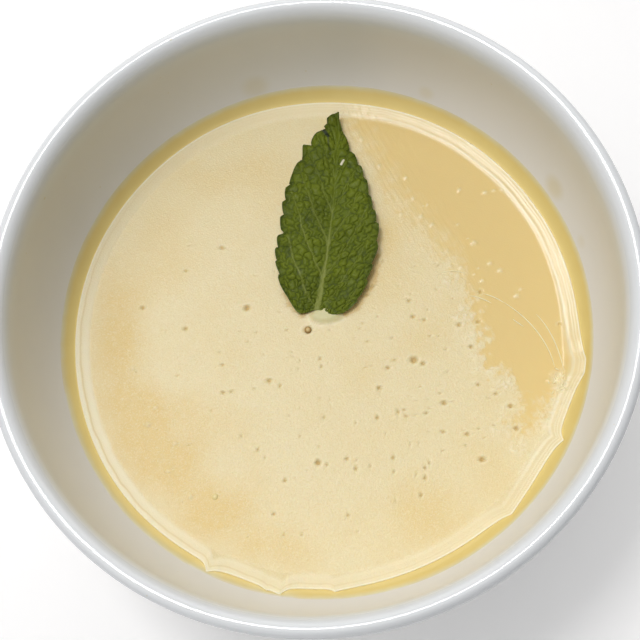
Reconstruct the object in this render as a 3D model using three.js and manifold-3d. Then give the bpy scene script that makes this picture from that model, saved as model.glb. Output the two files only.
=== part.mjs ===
// Panna cotta set in a round glazed bowl, with a mint leaf laid on top.
//
// Millimetres, +Z up. The origin is the centre of the bowl's foot, on the table.
// Seen from above, +Y is the side that the leaf's tip points to.
//
// The pieces are the bowl, the set cream with its scalloped lip, the ring of yellow
// syrup that has wept out between the lip and the wall, and the leaf.

import * as THREE from 'three';
import { mergeVertices } from 'three/addons/utils/BufferGeometryUtils.js';
import Module from 'manifold-3d';

// ---------------------------------------------------------------- driving dimensions

// The gap between two pieces that rest on each other.
const GAP = 0.3;

// Bowl.
const RIM_RADIUS = 75;
const BOWL_HEIGHT = 61;
const RIM_OUTER_ROUND = 1.8;
const RIM_ROLL_BREADTH = 3.3;
const RIM_ROLL_DEPTH = 5.5;
const INSIDE_FLOOR = 6;
const FLOOR_THICKNESS = 3.4;
const WALL_SQUARENESS = 2.47;
const FOOT_OUTER_RADIUS = 38.5;
const FOOT_INNER_RADIUS = 34.5;
const FOOT_TAPER = 1.2;
const FOOT_BEVEL = 0.7;
const BOWL_TURNS = 68;
const INSIDE_STEPS = 12;
const OUTSIDE_STEPS = 8;
const ROLL_STEPS = 4;
const ROUND_STEPS = 3;
const UNDERSIDE_STEPS = 3;

// Set cream.
const SURFACE_HEIGHT = 28.4;
const SURFACE_SWELL = 0.12;
const LIP_RADIUS = 61.85;
const LIP_HEIGHT = 29.2;
const LIP_WIDTH = 3.6;
const LIP_SLOPE = 1.3;
const LIP_UNDERCUT = 0.4;
const LIP_CLIMB = 0.8;
const RIDGE_HEIGHT = 0.14;
const LEDGE_HEIGHT = 27.3;
const CREAM_TURNS = 120;
const CREAM_WALL_STEPS = 5;

// Where the lip still clings to the wall: its bearing in degrees, how far it reaches out, and
// over how many degrees it falls back on its left-hand and right-hand turn.
const CUSPS = [
  { bearing: -8.5, reach: 3.0, leftward: 4.6, rightward: 4.1 },
  { bearing: -25.3, reach: 1.85, leftward: 1.3, rightward: 2.6 },
  { bearing: -44.8, reach: 1.6, leftward: 7.5, rightward: 2.8 },
  { bearing: -86.6, reach: 0.85, leftward: 3.6, rightward: 1.2 },
  { bearing: -98, reach: 2.3, leftward: 1.4, rightward: 4.8 },
  { bearing: -114.4, reach: 2.1, leftward: 1.9, rightward: 1.3 },
];

// Burst bubbles in the cream: their place and the radius of the mouth.
const PITS = [
  { x: -19, y: 7, radius: 1.1 },
  { x: -3.5, y: 0.5, radius: 1.0 },
  { x: -13, y: -12, radius: 0.8 },
  { x: -24, y: -15, radius: 0.8 },
  { x: -24.5, y: -8, radius: 0.6 },
  { x: -35, y: 17, radius: 0.7 },
  { x: -45, y: 7, radius: 0.7 },
  { x: -0.5, y: -32, radius: 0.9 },
  { x: 18.5, y: -20, radius: 0.7 },
  { x: 25, y: -20, radius: 0.8 },
  { x: 14, y: -14, radius: 0.7 },
  { x: 19, y: -9, radius: 0.9 },
  { x: 26, y: -32, radius: 0.7 },
  { x: 7, y: -45, radius: 0.7 },
  { x: 35, y: -25, radius: 0.8 },
  { x: 32, y: -38, radius: 0.8 },
];
const PIT_SIDES = 8;
const PIT_DEPTH_SHARE = 0.8;

// Syrup ring.
const SYRUP_BOTTOM = 27.9;
const SYRUP_DROP = 0.4;
const SYRUP_TOP = 32.1;
const SYRUP_TILT = 0.55;
const SYRUP_SWAY = 0.25;
const SYRUP_PEAK = { bearing: -28, rise: 0.45, breadth: 18 };
const SYRUP_LEAST_BREADTH = 0.45;

// Mint leaf.
const LEAF_BASE_Y = 4.4;
const LEAF_LENGTH = 53.1;
const LEAF_BASE_X = -1.4;
const LEAF_LEAN = 9.8;
const LEAF_BEND = -4.9;
const LEAF_THICKNESS = 0.5;
const LEAF_TEETH = 11;
const ROWS_PER_TOOTH = 4;
const TOOTH_DEPTH = 0.9;
const TOOTH_SLANT = 0.78;
const TIP_HALF_WIDTH = 0.35;
const LEFT_HALF = { base: 5.0, swell: 42, taper: 0.9, lift: 0.9, hollow: 1.3, flap: 2.7 };
const RIGHT_HALF = { base: 8.4, swell: 43, taper: 1.45, lift: 1.9, hollow: 0, flap: 0 };
const HOLLOW_MIDDLE = 0.54;
const HOLLOW_BREADTH = 0.17;
const FLAP_START = 0.9;
const FLAP_END = 0.95;
const FLAP_SLANT = 1.2;
const BASE_NOTCH = 1.4;
const NOTCH_BREADTH = 2.4;
const BASE_ROUNDING = 1.3;
const RIB_DIP = 0.9;
const CROWN = 1.1;
const TIP_RISE = 2.6;
const QUILT = 0.35;
const SIDE_VEINS = 7;
const VEIN_SWEEP = 0.24;
const LEAF_COLUMNS = [-1, -0.86, -0.68, -0.5, -0.32, -0.16, -0.05, 0.05, 0.16, 0.32, 0.5, 0.68, 0.86, 1];

// ---------------------------------------------------------------- shared forms

const DEGREE = Math.PI / 180;
const CREST_RADIUS = RIM_RADIUS - RIM_OUTER_ROUND;

// Both walls are super-ellipses, upright at the shoulder and level at the floor.
const INSIDE = {
  radius: CREST_RADIUS - RIM_ROLL_BREADTH,
  shoulder: BOWL_HEIGHT - RIM_ROLL_DEPTH,
  floor: INSIDE_FLOOR,
};
const OUTSIDE = {
  radius: RIM_RADIUS,
  shoulder: BOWL_HEIGHT - RIM_OUTER_ROUND,
  floor: INSIDE_FLOOR - FLOOR_THICKNESS,
};

/** Radius of a wall at height z. */
function wallRadius(z, { radius, shoulder, floor }) {
  const drop = (shoulder - z) / (shoulder - floor);
  return radius * (1 - drop ** WALL_SQUARENESS) ** (1 / WALL_SQUARENESS);
}

/** Height of a wall at radius r. */
function wallHeight(r, { radius, shoulder, floor }) {
  const level = (1 - (r / radius) ** WALL_SQUARENESS) ** (1 / WALL_SQUARENESS);
  return shoulder - (shoulder - floor) * level;
}

/** Points along a wall, evenly turned, from height zFrom to height zTo. */
function wallPoints(zFrom, zTo, wall, steps) {
  const depth = wall.shoulder - wall.floor;
  const turnAt = (z) => Math.acos(((wall.shoulder - z) / depth) ** (WALL_SQUARENESS / 2));
  const points = [];
  for (let i = 0; i <= steps; i += 1) {
    const turn = THREE.MathUtils.lerp(turnAt(zFrom), turnAt(zTo), i / steps);
    const drop = Math.max(0, Math.cos(turn)) ** (2 / WALL_SQUARENESS);
    const reach = Math.max(0, Math.sin(turn)) ** (2 / WALL_SQUARENESS);
    points.push([wall.radius * reach, wall.shoulder - depth * drop]);
  }
  return points;
}

/** Points over a quarter of an ellipse about (CREST_RADIUS, z), without its first point. */
function quarterPoints(z, breadth, height, fromTurn, toTurn, steps) {
  const points = [];
  for (let i = 1; i <= steps; i += 1) {
    const turn = THREE.MathUtils.lerp(fromTurn, toTurn, i / steps);
    points.push([CREST_RADIUS + breadth * Math.cos(turn), z + height * Math.sin(turn)]);
  }
  return points;
}

/** Radius that a piece standing in the bowl may reach at height z. */
function roomRadius(z) {
  return wallRadius(z, INSIDE) - GAP;
}

/** A closed geometry from points and triangles. */
function geometryFrom(points, triangles) {
  const geometry = new THREE.BufferGeometry();
  geometry.setAttribute('position', new THREE.Float32BufferAttribute(points.flat(), 3));
  geometry.setIndex(triangles.flat());
  geometry.computeVertexNormals();
  return geometry;
}

/**
 * A solid whose section changes round the axis. sectionAt(angle) gives [r, z] points from the
 * top of the axis outwards and down to its foot, or, for a ring, round its closed section.
 */
function turnedSolid(sectionAt, turns, isRing) {
  const points = [];
  const triangles = [];
  const sections = [];
  for (let i = 0; i < turns; i += 1) {
    const angle = (i / turns) * 2 * Math.PI;
    sections.push(sectionAt(angle).map(([r, z]) => [r * Math.cos(angle), r * Math.sin(angle), z]));
  }
  const count = sections[0].length;
  const index = [];
  sections.forEach((section, i) => {
    index.push(section.map((point, j) => {
      const onAxis = !isRing && (j === 0 || j === count - 1);
      if (onAxis && i > 0) {
        return index[0][j];
      }
      points.push(point);
      return points.length - 1;
    }));
  });
  const bands = isRing ? count : count - 1;
  for (let i = 0; i < turns; i += 1) {
    const here = index[i];
    const next = index[(i + 1) % turns];
    for (let j = 0; j < bands; j += 1) {
      const k = (j + 1) % count;
      if (here[k] !== next[k]) {
        triangles.push([here[j], here[k], next[k]]);
      }
      if (here[j] !== next[j]) {
        triangles.push([here[j], next[k], next[j]]);
      }
    }
  }
  return geometryFrom(points, triangles);
}

/** A full turn of a profile of [r, z] points, up from the foot of the axis to its top. */
function lathe(profile, turns) {
  const geometry = new THREE.LatheGeometry(profile.map(([r, z]) => new THREE.Vector2(r, z)), turns);
  geometry.rotateX(Math.PI / 2);
  return geometry;
}

// ---------------------------------------------------------------- bowl

/** Underside, foot ring, outside wall, rim and inside wall. The rim rolls over inwards. */
function bowlProfile() {
  const inside = wallPoints(INSIDE.floor, INSIDE.shoulder, INSIDE, INSIDE_STEPS);
  const roll = quarterPoints(
    INSIDE.shoulder, RIM_ROLL_BREADTH, RIM_ROLL_DEPTH, Math.PI, Math.PI / 2, ROLL_STEPS,
  );
  const round = quarterPoints(
    OUTSIDE.shoulder, RIM_OUTER_ROUND, RIM_OUTER_ROUND, Math.PI / 2, 0, ROUND_STEPS,
  );
  const footTop = wallHeight(FOOT_OUTER_RADIUS + FOOT_TAPER, OUTSIDE);
  const outside = wallPoints(OUTSIDE.shoulder, footTop, OUTSIDE, OUTSIDE_STEPS).slice(1);
  const foot = [
    [FOOT_OUTER_RADIUS, FOOT_BEVEL],
    [FOOT_OUTER_RADIUS - FOOT_BEVEL, 0],
    [FOOT_INNER_RADIUS + FOOT_BEVEL, 0],
    [FOOT_INNER_RADIUS, FOOT_BEVEL],
  ];
  const recessEdge = wallHeight(FOOT_INNER_RADIUS - FOOT_TAPER, OUTSIDE);
  const underside = wallPoints(recessEdge, OUTSIDE.floor, OUTSIDE, UNDERSIDE_STEPS);
  return [...inside, ...roll, ...round, ...outside, ...foot, ...underside].reverse();
}

function bowl() {
  const glaze = new THREE.MeshStandardMaterial({ color: 0xd9d6cc, roughness: 0.12, metalness: 0 });
  return new THREE.Mesh(lathe(bowlProfile(), BOWL_TURNS), glaze);
}

// ---------------------------------------------------------------- set cream

/** How far the lip reaches out towards the wall at a bearing: sharp cusps between shallow bays. */
function lipReach(angle) {
  const unevenness = 0.12 * Math.sin(3 * angle + 1.1) + 0.08 * Math.sin(7 * angle + 0.4);
  return CUSPS.reduce((total, { bearing, reach, leftward, rightward }) => {
    const turn = Math.atan2(Math.sin(angle - bearing * DEGREE), Math.cos(angle - bearing * DEGREE));
    const breadth = (turn > 0 ? leftward : rightward) * DEGREE;
    return total + reach * Math.exp(-Math.abs(turn) / breadth);
  }, unevenness);
}

/** The crest of the lip: it rises as it reaches out, and leaves room for the syrup. */
function lipCrest(angle) {
  const reach = lipReach(angle);
  const z = LIP_HEIGHT + LIP_CLIMB * Math.max(0, Math.min(reach, 1));
  const most = roomRadius(z - SYRUP_DROP) - GAP - SYRUP_LEAST_BREADTH;
  return { r: Math.min(LIP_RADIUS + reach, most), z };
}

/** Slow swell of the flat middle. */
function surfaceHeight(r, angle) {
  return SURFACE_HEIGHT + SURFACE_SWELL * Math.sin(2 * angle) * (r / LIP_RADIUS) ** 2;
}

function creamSection(angle) {
  const crest = lipCrest(angle);
  const flatRadius = crest.r - LIP_WIDTH;
  const middle = [0, 0.28, 0.52, 0.76, 1].map((share) => {
    const r = share * flatRadius;
    return [r, surfaceHeight(r, angle)];
  });
  // The lip rises in a hollow curve with one ridge on it, and ends in a small round crest.
  const foot = surfaceHeight(flatRadius, angle);
  const climb = crest.z - foot;
  const lip = [
    [0.06, 0],
    [0.18, RIDGE_HEIGHT],
    [0.32, 0],
    [0.55, 0],
    [0.78, 0],
    [0.94, 0],
  ].map(([share, ridge]) => [flatRadius + share * LIP_WIDTH, foot + climb * share ** LIP_SLOPE + ridge]);
  const side = [
    [crest.r, crest.z],
    [crest.r - LIP_UNDERCUT / 2, crest.z - SYRUP_DROP],
    [Math.min(crest.r, LIP_RADIUS) - LIP_UNDERCUT, SYRUP_BOTTOM - GAP],
  ];
  const wall = wallPoints(LEDGE_HEIGHT, INSIDE.floor, INSIDE, CREAM_WALL_STEPS);
  const hugging = wall.slice(0, -1).map(([r, z]) => [r - GAP, z + GAP / 2]);
  return [...middle, ...lip, ...side, ...hugging, [0, INSIDE_FLOOR + GAP]];
}

/** The cup that one burst bubble leaves, closed a little above the surface. */
function pitCutter({ x, y, radius }) {
  const depth = PIT_DEPTH_SHARE * radius;
  const profile = [[0, -depth], [0.7 * radius, -0.6 * depth], [radius, 0.5], [0, 0.5]];
  const cutter = lathe(profile, PIT_SIDES);
  cutter.translate(x, y, surfaceHeight(Math.hypot(x, y), Math.atan2(y, x)));
  return cutter;
}

function panna(tools) {
  let solid = tools.solidOf(turnedSolid(creamSection, CREAM_TURNS, false));
  PITS.forEach((pit) => {
    solid = solid.subtract(tools.solidOf(pitCutter(pit)));
  });
  const cream = new THREE.MeshStandardMaterial({ color: 0xe8dca8, roughness: 0.3, metalness: 0 });
  return new THREE.Mesh(tools.geometryOf(solid), cream);
}

// ---------------------------------------------------------------- syrup ring

/** Height of the line that the syrup leaves on the wall: highest on the right, lowest in front. */
function syrupLine(angle) {
  const tilt = SYRUP_TILT * (Math.cos(angle) + Math.sin(angle));
  const sway = SYRUP_SWAY * (Math.cos(2 * angle) - 0.8 * Math.sin(2 * angle));
  const { bearing, rise, breadth } = SYRUP_PEAK;
  const turn = Math.atan2(Math.sin(angle - bearing * DEGREE), Math.cos(angle - bearing * DEGREE));
  return SYRUP_TOP + tilt + sway + rise * Math.exp(-((turn / (breadth * DEGREE)) ** 2));
}

/** The wedge between lip and wall: a hollow meniscus on top, feathering out on the wall. */
function syrupSection(angle) {
  const crest = lipCrest(angle);
  const line = syrupLine(angle);
  const innerTop = [crest.r + GAP, crest.z - SYRUP_DROP];
  const outerTop = [roomRadius(line), line];
  const middleZ = THREE.MathUtils.lerp(innerTop[1], outerTop[1], 0.4);
  const middleR = THREE.MathUtils.lerp(innerTop[0], roomRadius(middleZ), 0.45);
  const innerBottom = Math.min(crest.r, LIP_RADIUS) - LIP_UNDERCUT + GAP;
  return [
    innerTop,
    [middleR, middleZ],
    outerTop,
    [roomRadius(middleZ), middleZ],
    [roomRadius(SYRUP_BOTTOM), SYRUP_BOTTOM],
    [innerBottom, SYRUP_BOTTOM],
  ];
}

function syrupRing() {
  const syrup = new THREE.MeshStandardMaterial({ color: 0xdcbf6c, roughness: 0.1, metalness: 0 });
  return new THREE.Mesh(turnedSolid(syrupSection, CREAM_TURNS, true), syrup);
}

// ---------------------------------------------------------------- mint leaf

/**
 * Half the leaf's width at share s of its length, with round teeth that point to the tip. The
 * left half is hollowed above its middle, and its folded tip leaves a blunt flap.
 */
function leafHalfWidth(s, half) {
  const blade = (half.base + half.swell * s) * (1 - s) ** half.taper;
  const phase = (s * LEAF_TEETH) % 1;
  const back = 1 - (1 - phase / TOOTH_SLANT) ** 2;
  const tooth = phase < TOOTH_SLANT ? back : (1 - phase) / (1 - TOOTH_SLANT);
  const depth = TOOTH_DEPTH * Math.min(1, blade / 6);
  const hollow = half.hollow * Math.exp(-(((s - HOLLOW_MIDDLE) / HOLLOW_BREADTH) ** 2));
  const flap = half.flap * THREE.MathUtils.smoothstep(s, FLAP_START, FLAP_END);
  return Math.max(TIP_HALF_WIDTH, flap, blade - hollow - depth * (1 - tooth));
}

/** A point of the leaf's middle surface: s runs from base to tip, v from left to right edge. */
function leafPoint(s, v) {
  const half = v < 0 ? LEFT_HALF : RIGHT_HALF;
  const out = Math.abs(v);
  const ribX = LEAF_BASE_X + LEAF_LEAN * s + LEAF_BEND * s * s;
  const fromRib = out * leafHalfWidth(s, half);
  const x = ribX + Math.sign(v) * fromRib;
  const notch = BASE_NOTCH * Math.exp(-((fromRib / NOTCH_BREADTH) ** 2)) * (1 - s) ** 8;
  const rounding = BASE_ROUNDING * out ** 5 * (1 - s) ** 12;
  const slant = v < 0 ? FLAP_SLANT * out * THREE.MathUtils.smoothstep(s, FLAP_START, 1) : 0;
  const y = LEAF_BASE_Y + LEAF_LENGTH * s + notch + rounding - slant;
  const swept = s - VEIN_SWEEP * out;
  const quilt = QUILT * Math.abs(Math.sin(Math.PI * SIDE_VEINS * swept)) * Math.sin(Math.PI * out);
  const fade = Math.min(1, 4 * s + 0.15) * (1 - 0.6 * s);
  const crown = CROWN * Math.sin(Math.PI * Math.min(1, out * 1.1)) * fade;
  const rib = RIB_DIP * Math.sin(Math.PI * Math.min(1, s + 0.1));
  const lift = half.lift * out ** 2 * Math.sin(Math.PI * Math.min(1, s + 0.22));
  const rest = SURFACE_HEIGHT + SURFACE_SWELL + GAP + LEAF_THICKNESS / 2;
  return new THREE.Vector3(x, y, rest + rib + crown + lift + quilt * fade + TIP_RISE * s ** 4);
}

/** Unit normal of the middle surface, from two short steps on it. */
function leafNormal(s, v) {
  const step = 0.01;
  const along = leafPoint(Math.min(1, s + step), v).sub(leafPoint(Math.max(0, s - step), v));
  const across = leafPoint(s, Math.min(1, v + step)).sub(leafPoint(s, Math.max(-1, v - step)));
  return across.cross(along).normalize();
}

/** Both faces of the leaf are cut into triangles alike, and a narrow band joins their edges. */
function leafGeometry() {
  const rows = LEAF_TEETH * ROWS_PER_TOOTH;
  const columns = LEAF_COLUMNS.length;
  const faces = [1, -1].map((side) => {
    const points = [];
    for (let i = 0; i <= rows; i += 1) {
      LEAF_COLUMNS.forEach((v) => {
        const s = i / rows;
        const offset = leafNormal(s, v).multiplyScalar((side * LEAF_THICKNESS) / 2);
        points.push(leafPoint(s, v).add(offset).toArray());
      });
    }
    return points;
  });
  const count = faces[0].length;
  const triangles = [];
  for (let i = 0; i < rows; i += 1) {
    for (let j = 0; j < columns - 1; j += 1) {
      const a = i * columns + j;
      const b = a + 1;
      const c = a + columns + 1;
      const d = a + columns;
      triangles.push([a, b, c], [a, c, d]);
      triangles.push([count + a, count + c, count + b], [count + a, count + d, count + c]);
    }
  }
  const edge = [];
  for (let j = 0; j < columns - 1; j += 1) {
    edge.push(j);
  }
  for (let i = 0; i < rows; i += 1) {
    edge.push(i * columns + columns - 1);
  }
  for (let j = columns - 1; j > 0; j -= 1) {
    edge.push(rows * columns + j);
  }
  for (let i = rows; i > 0; i -= 1) {
    edge.push(i * columns);
  }
  edge.forEach((a, k) => {
    const b = edge[(k + 1) % edge.length];
    triangles.push([a, count + a, count + b], [a, count + b, b]);
  });
  return geometryFrom(faces.flat(), triangles);
}

function mintLeaf() {
  const green = new THREE.MeshStandardMaterial({ color: 0x5d7330, roughness: 0.45, metalness: 0 });
  green.side = THREE.FrontSide;
  return new THREE.Mesh(leafGeometry(), green);
}

// ---------------------------------------------------------------- cutting

/** Turns geometries into solids that can be cut, and back. */
function cuttingTools(wasm) {
  return {
    solidOf(geometry) {
      const bare = geometry.clone();
      bare.deleteAttribute('normal');
      bare.deleteAttribute('uv');
      const merged = mergeVertices(bare);
      return new wasm.Manifold(new wasm.Mesh({
        numProp: 3,
        vertProperties: new Float32Array(merged.attributes.position.array),
        triVerts: new Uint32Array(merged.index.array),
      }));
    },
    geometryOf(solid) {
      const mesh = solid.getMesh();
      const geometry = new THREE.BufferGeometry();
      geometry.setAttribute('position', new THREE.BufferAttribute(mesh.vertProperties, 3));
      geometry.setIndex(new THREE.BufferAttribute(mesh.triVerts, 1));
      geometry.computeVertexNormals();
      return geometry;
    },
  };
}

// ---------------------------------------------------------------- assembly

const wasm = await Module();
wasm.setup();

const dessert = new THREE.Group();
const pieces = {
  bowl: bowl(),
  panna_cotta: panna(cuttingTools(wasm)),
  yellow_syrup_ring: syrupRing(),
  mint_leaf: mintLeaf(),
};
Object.entries(pieces).forEach(([name, mesh]) => {
  mesh.name = name;
  dessert.add(mesh);
});

export default dessert;
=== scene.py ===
"""Looks of a panna cotta set in a glazed bowl, with a mint leaf on it.

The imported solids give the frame. The bowl, the set cream, the syrup ring and the leaf are
made again here as fine surfaces of the same form. Forms are worked out in millimetres and
become metres in one place, Surface.piece. +Z is up, and +Y is where the leaf's tip points.
"""

import itertools
import logging
import math
from dataclasses import dataclass, field
from enum import Enum

import bpy
import numpy as np
from mathutils import Matrix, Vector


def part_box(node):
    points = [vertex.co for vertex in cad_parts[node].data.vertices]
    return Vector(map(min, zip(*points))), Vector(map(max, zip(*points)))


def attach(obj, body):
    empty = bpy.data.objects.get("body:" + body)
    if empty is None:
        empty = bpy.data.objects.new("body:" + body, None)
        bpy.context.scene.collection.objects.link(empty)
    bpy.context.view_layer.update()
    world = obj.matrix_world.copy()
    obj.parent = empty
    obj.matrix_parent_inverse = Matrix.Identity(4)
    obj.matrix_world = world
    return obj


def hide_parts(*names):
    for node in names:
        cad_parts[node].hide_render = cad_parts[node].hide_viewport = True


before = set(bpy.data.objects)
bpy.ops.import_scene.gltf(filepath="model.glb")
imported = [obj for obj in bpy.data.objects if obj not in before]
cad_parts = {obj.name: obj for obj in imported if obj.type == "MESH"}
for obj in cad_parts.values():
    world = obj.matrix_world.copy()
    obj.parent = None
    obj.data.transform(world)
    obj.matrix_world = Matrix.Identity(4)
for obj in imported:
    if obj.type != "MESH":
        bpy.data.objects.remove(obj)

MM = 0.001
TURN = 2 * math.pi
DEGREE = math.pi / 180
log = logging.getLogger("panna_cotta")

WAVE_COUNT = 14
WAVE_SPREAD = (0.6, 1.7)
SCATTER_STRIDE, SCATTER_SALT, SCATTER_GAIN = 127.1, 74.7, 43758.5453

Array = np.ndarray
Socket = bpy.types.NodeSocket
Material = bpy.types.Material
Piece = bpy.types.Object
Colour = tuple[float, float, float]
Spot = tuple[float, float, float]
Place = tuple[float, float]
Range = tuple[float, float]


class Slot(Enum):
    """The record's material slots."""

    GLAZE = "white_glaze"
    CREAM = "set_cream"
    SYRUP = "yellow_syrup"
    LEAF = "mint_green"


# ---------------------------------------------------------------- numbers on whole arrays


def smooth_step(low: float, high: float, value: Array) -> Array:
    """Rises smoothly from 0 at low to 1 at high, by 3t^2 - 2t^3.

    Args:
        low: Value where the step starts.
        high: Value where it ends. It may be the lower of the two.
        value: Where the step is wanted.

    Returns:
        The step at each value.
    """
    t = np.clip((value - low) / (high - low), 0, 1)
    return t * t * (3 - 2 * t)


def hump(value: Array, middle: float, breadth: float) -> Array:
    """A bell, 1 at middle: exp(-((value - middle) / breadth)^2)."""
    return np.exp(-(((value - middle) / breadth) ** 2))


@dataclass(frozen=True)
class Uneven:
    """Smooth seeded unevenness: its depth, its usual wavelength and the seed of its draw."""

    depth: float
    length: float
    seed: int

    def at(self, x: Array, y: Array) -> Array:
        """The unevenness at each place: a sum of plane waves in random directions.

        Args:
            x: First coordinate, in the wavelength's unit.
            y: Second coordinate.

        Returns:
            Heights of about -depth to depth.
        """
        draw = np.random.default_rng(self.seed)
        heading = draw.uniform(0, TURN, WAVE_COUNT)
        phase = draw.uniform(0, TURN, WAVE_COUNT)
        pitch = TURN / (self.length * draw.uniform(*WAVE_SPREAD, WAVE_COUNT))
        total = np.zeros(np.broadcast(x, y).shape)
        for a, p, k in zip(heading, phase, pitch):
            total += np.sin(k * (x * math.cos(a) + y * math.sin(a)) + p)
        return self.depth * (total / math.sqrt(WAVE_COUNT))


@dataclass(frozen=True)
class Ripple:
    """One even wave: its depth, how many of it go into a full turn, and its start in radians."""

    depth: float
    times: float
    start: float = 0

    def at(self, angle: Array) -> Array:
        """The wave at each angle: depth sin(times angle + start)."""
        return self.depth * np.sin(self.times * angle + self.start)


@dataclass(frozen=True)
class Bell:
    """A bell round the axis: its bearing and breadth in degrees, and its height."""

    bearing: float
    breadth: float
    height: float = 1

    def at(self, angle: Array) -> Array:
        """The bell at each angle."""
        return self.height * hump(turned_from(angle, self.bearing), 0, self.breadth * DEGREE)


@dataclass(frozen=True)
class Oval:
    """An upright oval seen from above: its middle, its half breadths and its strength."""

    x: float
    y: float
    wide: float
    deep: float
    share: float = 1

    def away(self, x: Array, y: Array) -> Array:
        """Distance from the middle, counted in half breadths: 1 on the oval."""
        return np.hypot((x - self.x) / self.wide, (y - self.y) / self.deep)


def scatter(number: Array, salt: float) -> Array:
    """A fixed random share for each whole number: what a steep sine has behind its point."""
    steep = np.sin(number * SCATTER_STRIDE + salt * SCATTER_SALT) * SCATTER_GAIN
    return steep - np.floor(steep)


def from_side(x: Array, y: Array, start: Place, end: Place) -> Array:
    """Distance of each place to the straight side from start to end.

    Args:
        x: Places across.
        y: Places along.
        start: One end of the side.
        end: Its other end.

    Returns:
        The distances.
    """
    (ax, ay), (bx, by) = start, end
    dx, dy = bx - ax, by - ay
    share = np.clip(((x - ax) * dx + (y - ay) * dy) / (dx * dx + dy * dy), 0, 1)
    return np.hypot(x - ax - share * dx, y - ay - share * dy)


def region_depth(x: Array, y: Array, outline: tuple[Place, ...]) -> Array:
    """Depth inside a closed outline: distance to its nearest side, less than 0 outside.

    A place is inside where a ray from it crosses the outline an odd number of times.

    Args:
        x: Places across.
        y: Places along.
        outline: The outline's corners, in order.

    Returns:
        The signed distance of each place.
    """
    nearest = np.full(np.shape(x), np.inf)
    inside = np.zeros(np.shape(x), dtype=bool)
    for (ax, ay), (bx, by) in itertools.pairwise((*outline, outline[0])):
        nearest = np.minimum(nearest, from_side(x, y, (ax, ay), (bx, by)))
        height = by - ay or 1.0
        inside ^= ((ay > y) != (by > y)) & (x < ax + (y - ay) * (bx - ax) / height)
    return np.where(inside, nearest, -nearest)


@dataclass(frozen=True)
class Stroke:
    """A straight stroke seen from above: its ends, its breadth to each side and its strength."""

    start: Place
    end: Place
    breadth: float
    share: float = 1

    def at(self, x: Array, y: Array) -> Array:
        """The stroke's share of each place, fading to 0 at its breadth."""
        away = from_side(x, y, self.start, self.end)
        return self.share * smooth_step(self.breadth, 0.3 * self.breadth, away)


def turned_from(angle: Array, bearing: float) -> Array:
    """The turn from a bearing in degrees to each angle, in radians: from half a turn back to half on."""
    return np.angle(np.exp(1j * (angle - bearing * DEGREE)))


def quads(rows: int, columns: int, closed: bool = False) -> Array:
    """Faces of a grid of rows x columns points, numbered row by row.

    Args:
        rows: Rows of points.
        columns: Points in a row.
        closed: True where each row is a ring.

    Returns:
        Four point numbers for each face.
    """
    row = np.arange(rows - 1)[:, None] * columns
    here = np.arange(columns if closed else columns - 1)[None, :]
    there = (here + 1) % columns
    corners = (row + here, row + there, row + columns + there, row + columns + here)
    return np.stack(corners, axis=-1).reshape(-1, 4)


def fan(ring: Array, pole: int) -> Array:
    """Triangles from each side of a ring of point numbers to one pole."""
    return np.stack((ring, np.roll(ring, -1), np.full(len(ring), pole)), axis=-1)


@dataclass
class Surface:
    """A closed surface: points in millimetres, faces, and values carried by the points."""

    points: Array
    faces: list[Array]
    values: dict[str, Array] = field(default_factory=dict)

    def piece(self, name: str, material: Material) -> Piece:
        """Puts the surface into a smooth-shaded mesh object at the origin, in metres.

        Args:
            name: Name of the object.
            material: Its only material.

        Returns:
            The new object, linked to the scene.
        """
        mesh = bpy.data.meshes.new(name)
        mesh.vertices.add(len(self.points))
        mesh.vertices.foreach_set("co", (self.points * MM).astype(np.float32).ravel())
        sides = np.concatenate([np.full(len(f), f.shape[1]) for f in self.faces])
        mesh.loops.add(int(sides.sum()))
        corners = np.concatenate([f.ravel() for f in self.faces]).astype(np.int32)
        mesh.loops.foreach_set("vertex_index", corners)
        mesh.polygons.add(len(sides))
        starts = np.concatenate(([0], np.cumsum(sides)[:-1])).astype(np.int32)
        mesh.polygons.foreach_set("loop_start", starts)
        mesh.polygons.foreach_set("use_smooth", np.ones(len(sides), dtype=bool))
        mesh.update(calc_edges=True)
        for key, value in self.values.items():
            layer = mesh.attributes.new(key, "FLOAT", "POINT")
            layer.data.foreach_set("value", value.astype(np.float32).ravel())
        mesh.validate()
        mesh.materials.append(material)
        piece = bpy.data.objects.new(name, mesh)
        bpy.context.scene.collection.objects.link(piece)
        log.info("%s: %d points, %d faces", name, len(mesh.vertices), len(mesh.polygons))
        return piece


def lathe(profile: Array, turns: int) -> Surface:
    """Turns a profile about Z: (r cos a, r sin a, z), closed to one point at each pole.

    Args:
        profile: (r, z) points from the axis to the axis, outward faces on their left.
        turns: Steps in a full turn.

    Returns:
        The closed surface.
    """
    ring, level = profile[1:-1, 0], profile[1:-1, 1]
    angle = np.arange(turns) * TURN / turns
    points = np.stack((
        ring[:, None] * np.cos(angle),
        ring[:, None] * np.sin(angle),
        np.broadcast_to(level[:, None], (len(ring), turns)),
    ), axis=-1).reshape(-1, 3)
    poles = np.array([[0, 0, profile[0, 1]], [0, 0, profile[-1, 1]]])
    body = quads(len(ring), turns, closed=True)
    first = fan(np.arange(turns), len(points))[:, ::-1]
    last = fan(np.arange(turns) + (len(ring) - 1) * turns, len(points) + 1)
    return Surface(np.concatenate((points, poles)), [body, first, last])


# ---------------------------------------------------------------- material nodes


@dataclass(frozen=True)
class Fade:
    """A smooth change of a value: where it starts and ends, and what it gives last and first."""

    start: float
    end: float
    last: float = 1
    first: float = 0


@dataclass(frozen=True)
class Line:
    """A line where a value is near middle: its breadth to each side, and its strength."""

    middle: float
    breadth: float
    share: float


@dataclass(frozen=True)
class Lumps:
    """Noise: size of a lump in millimetres, its finer layers, and its length and heading.

    The length is counted in sizes, and the heading in degrees from +X.
    """

    size: float
    detail: float = 3
    stretch: float = 1
    heading: float = 0


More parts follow.
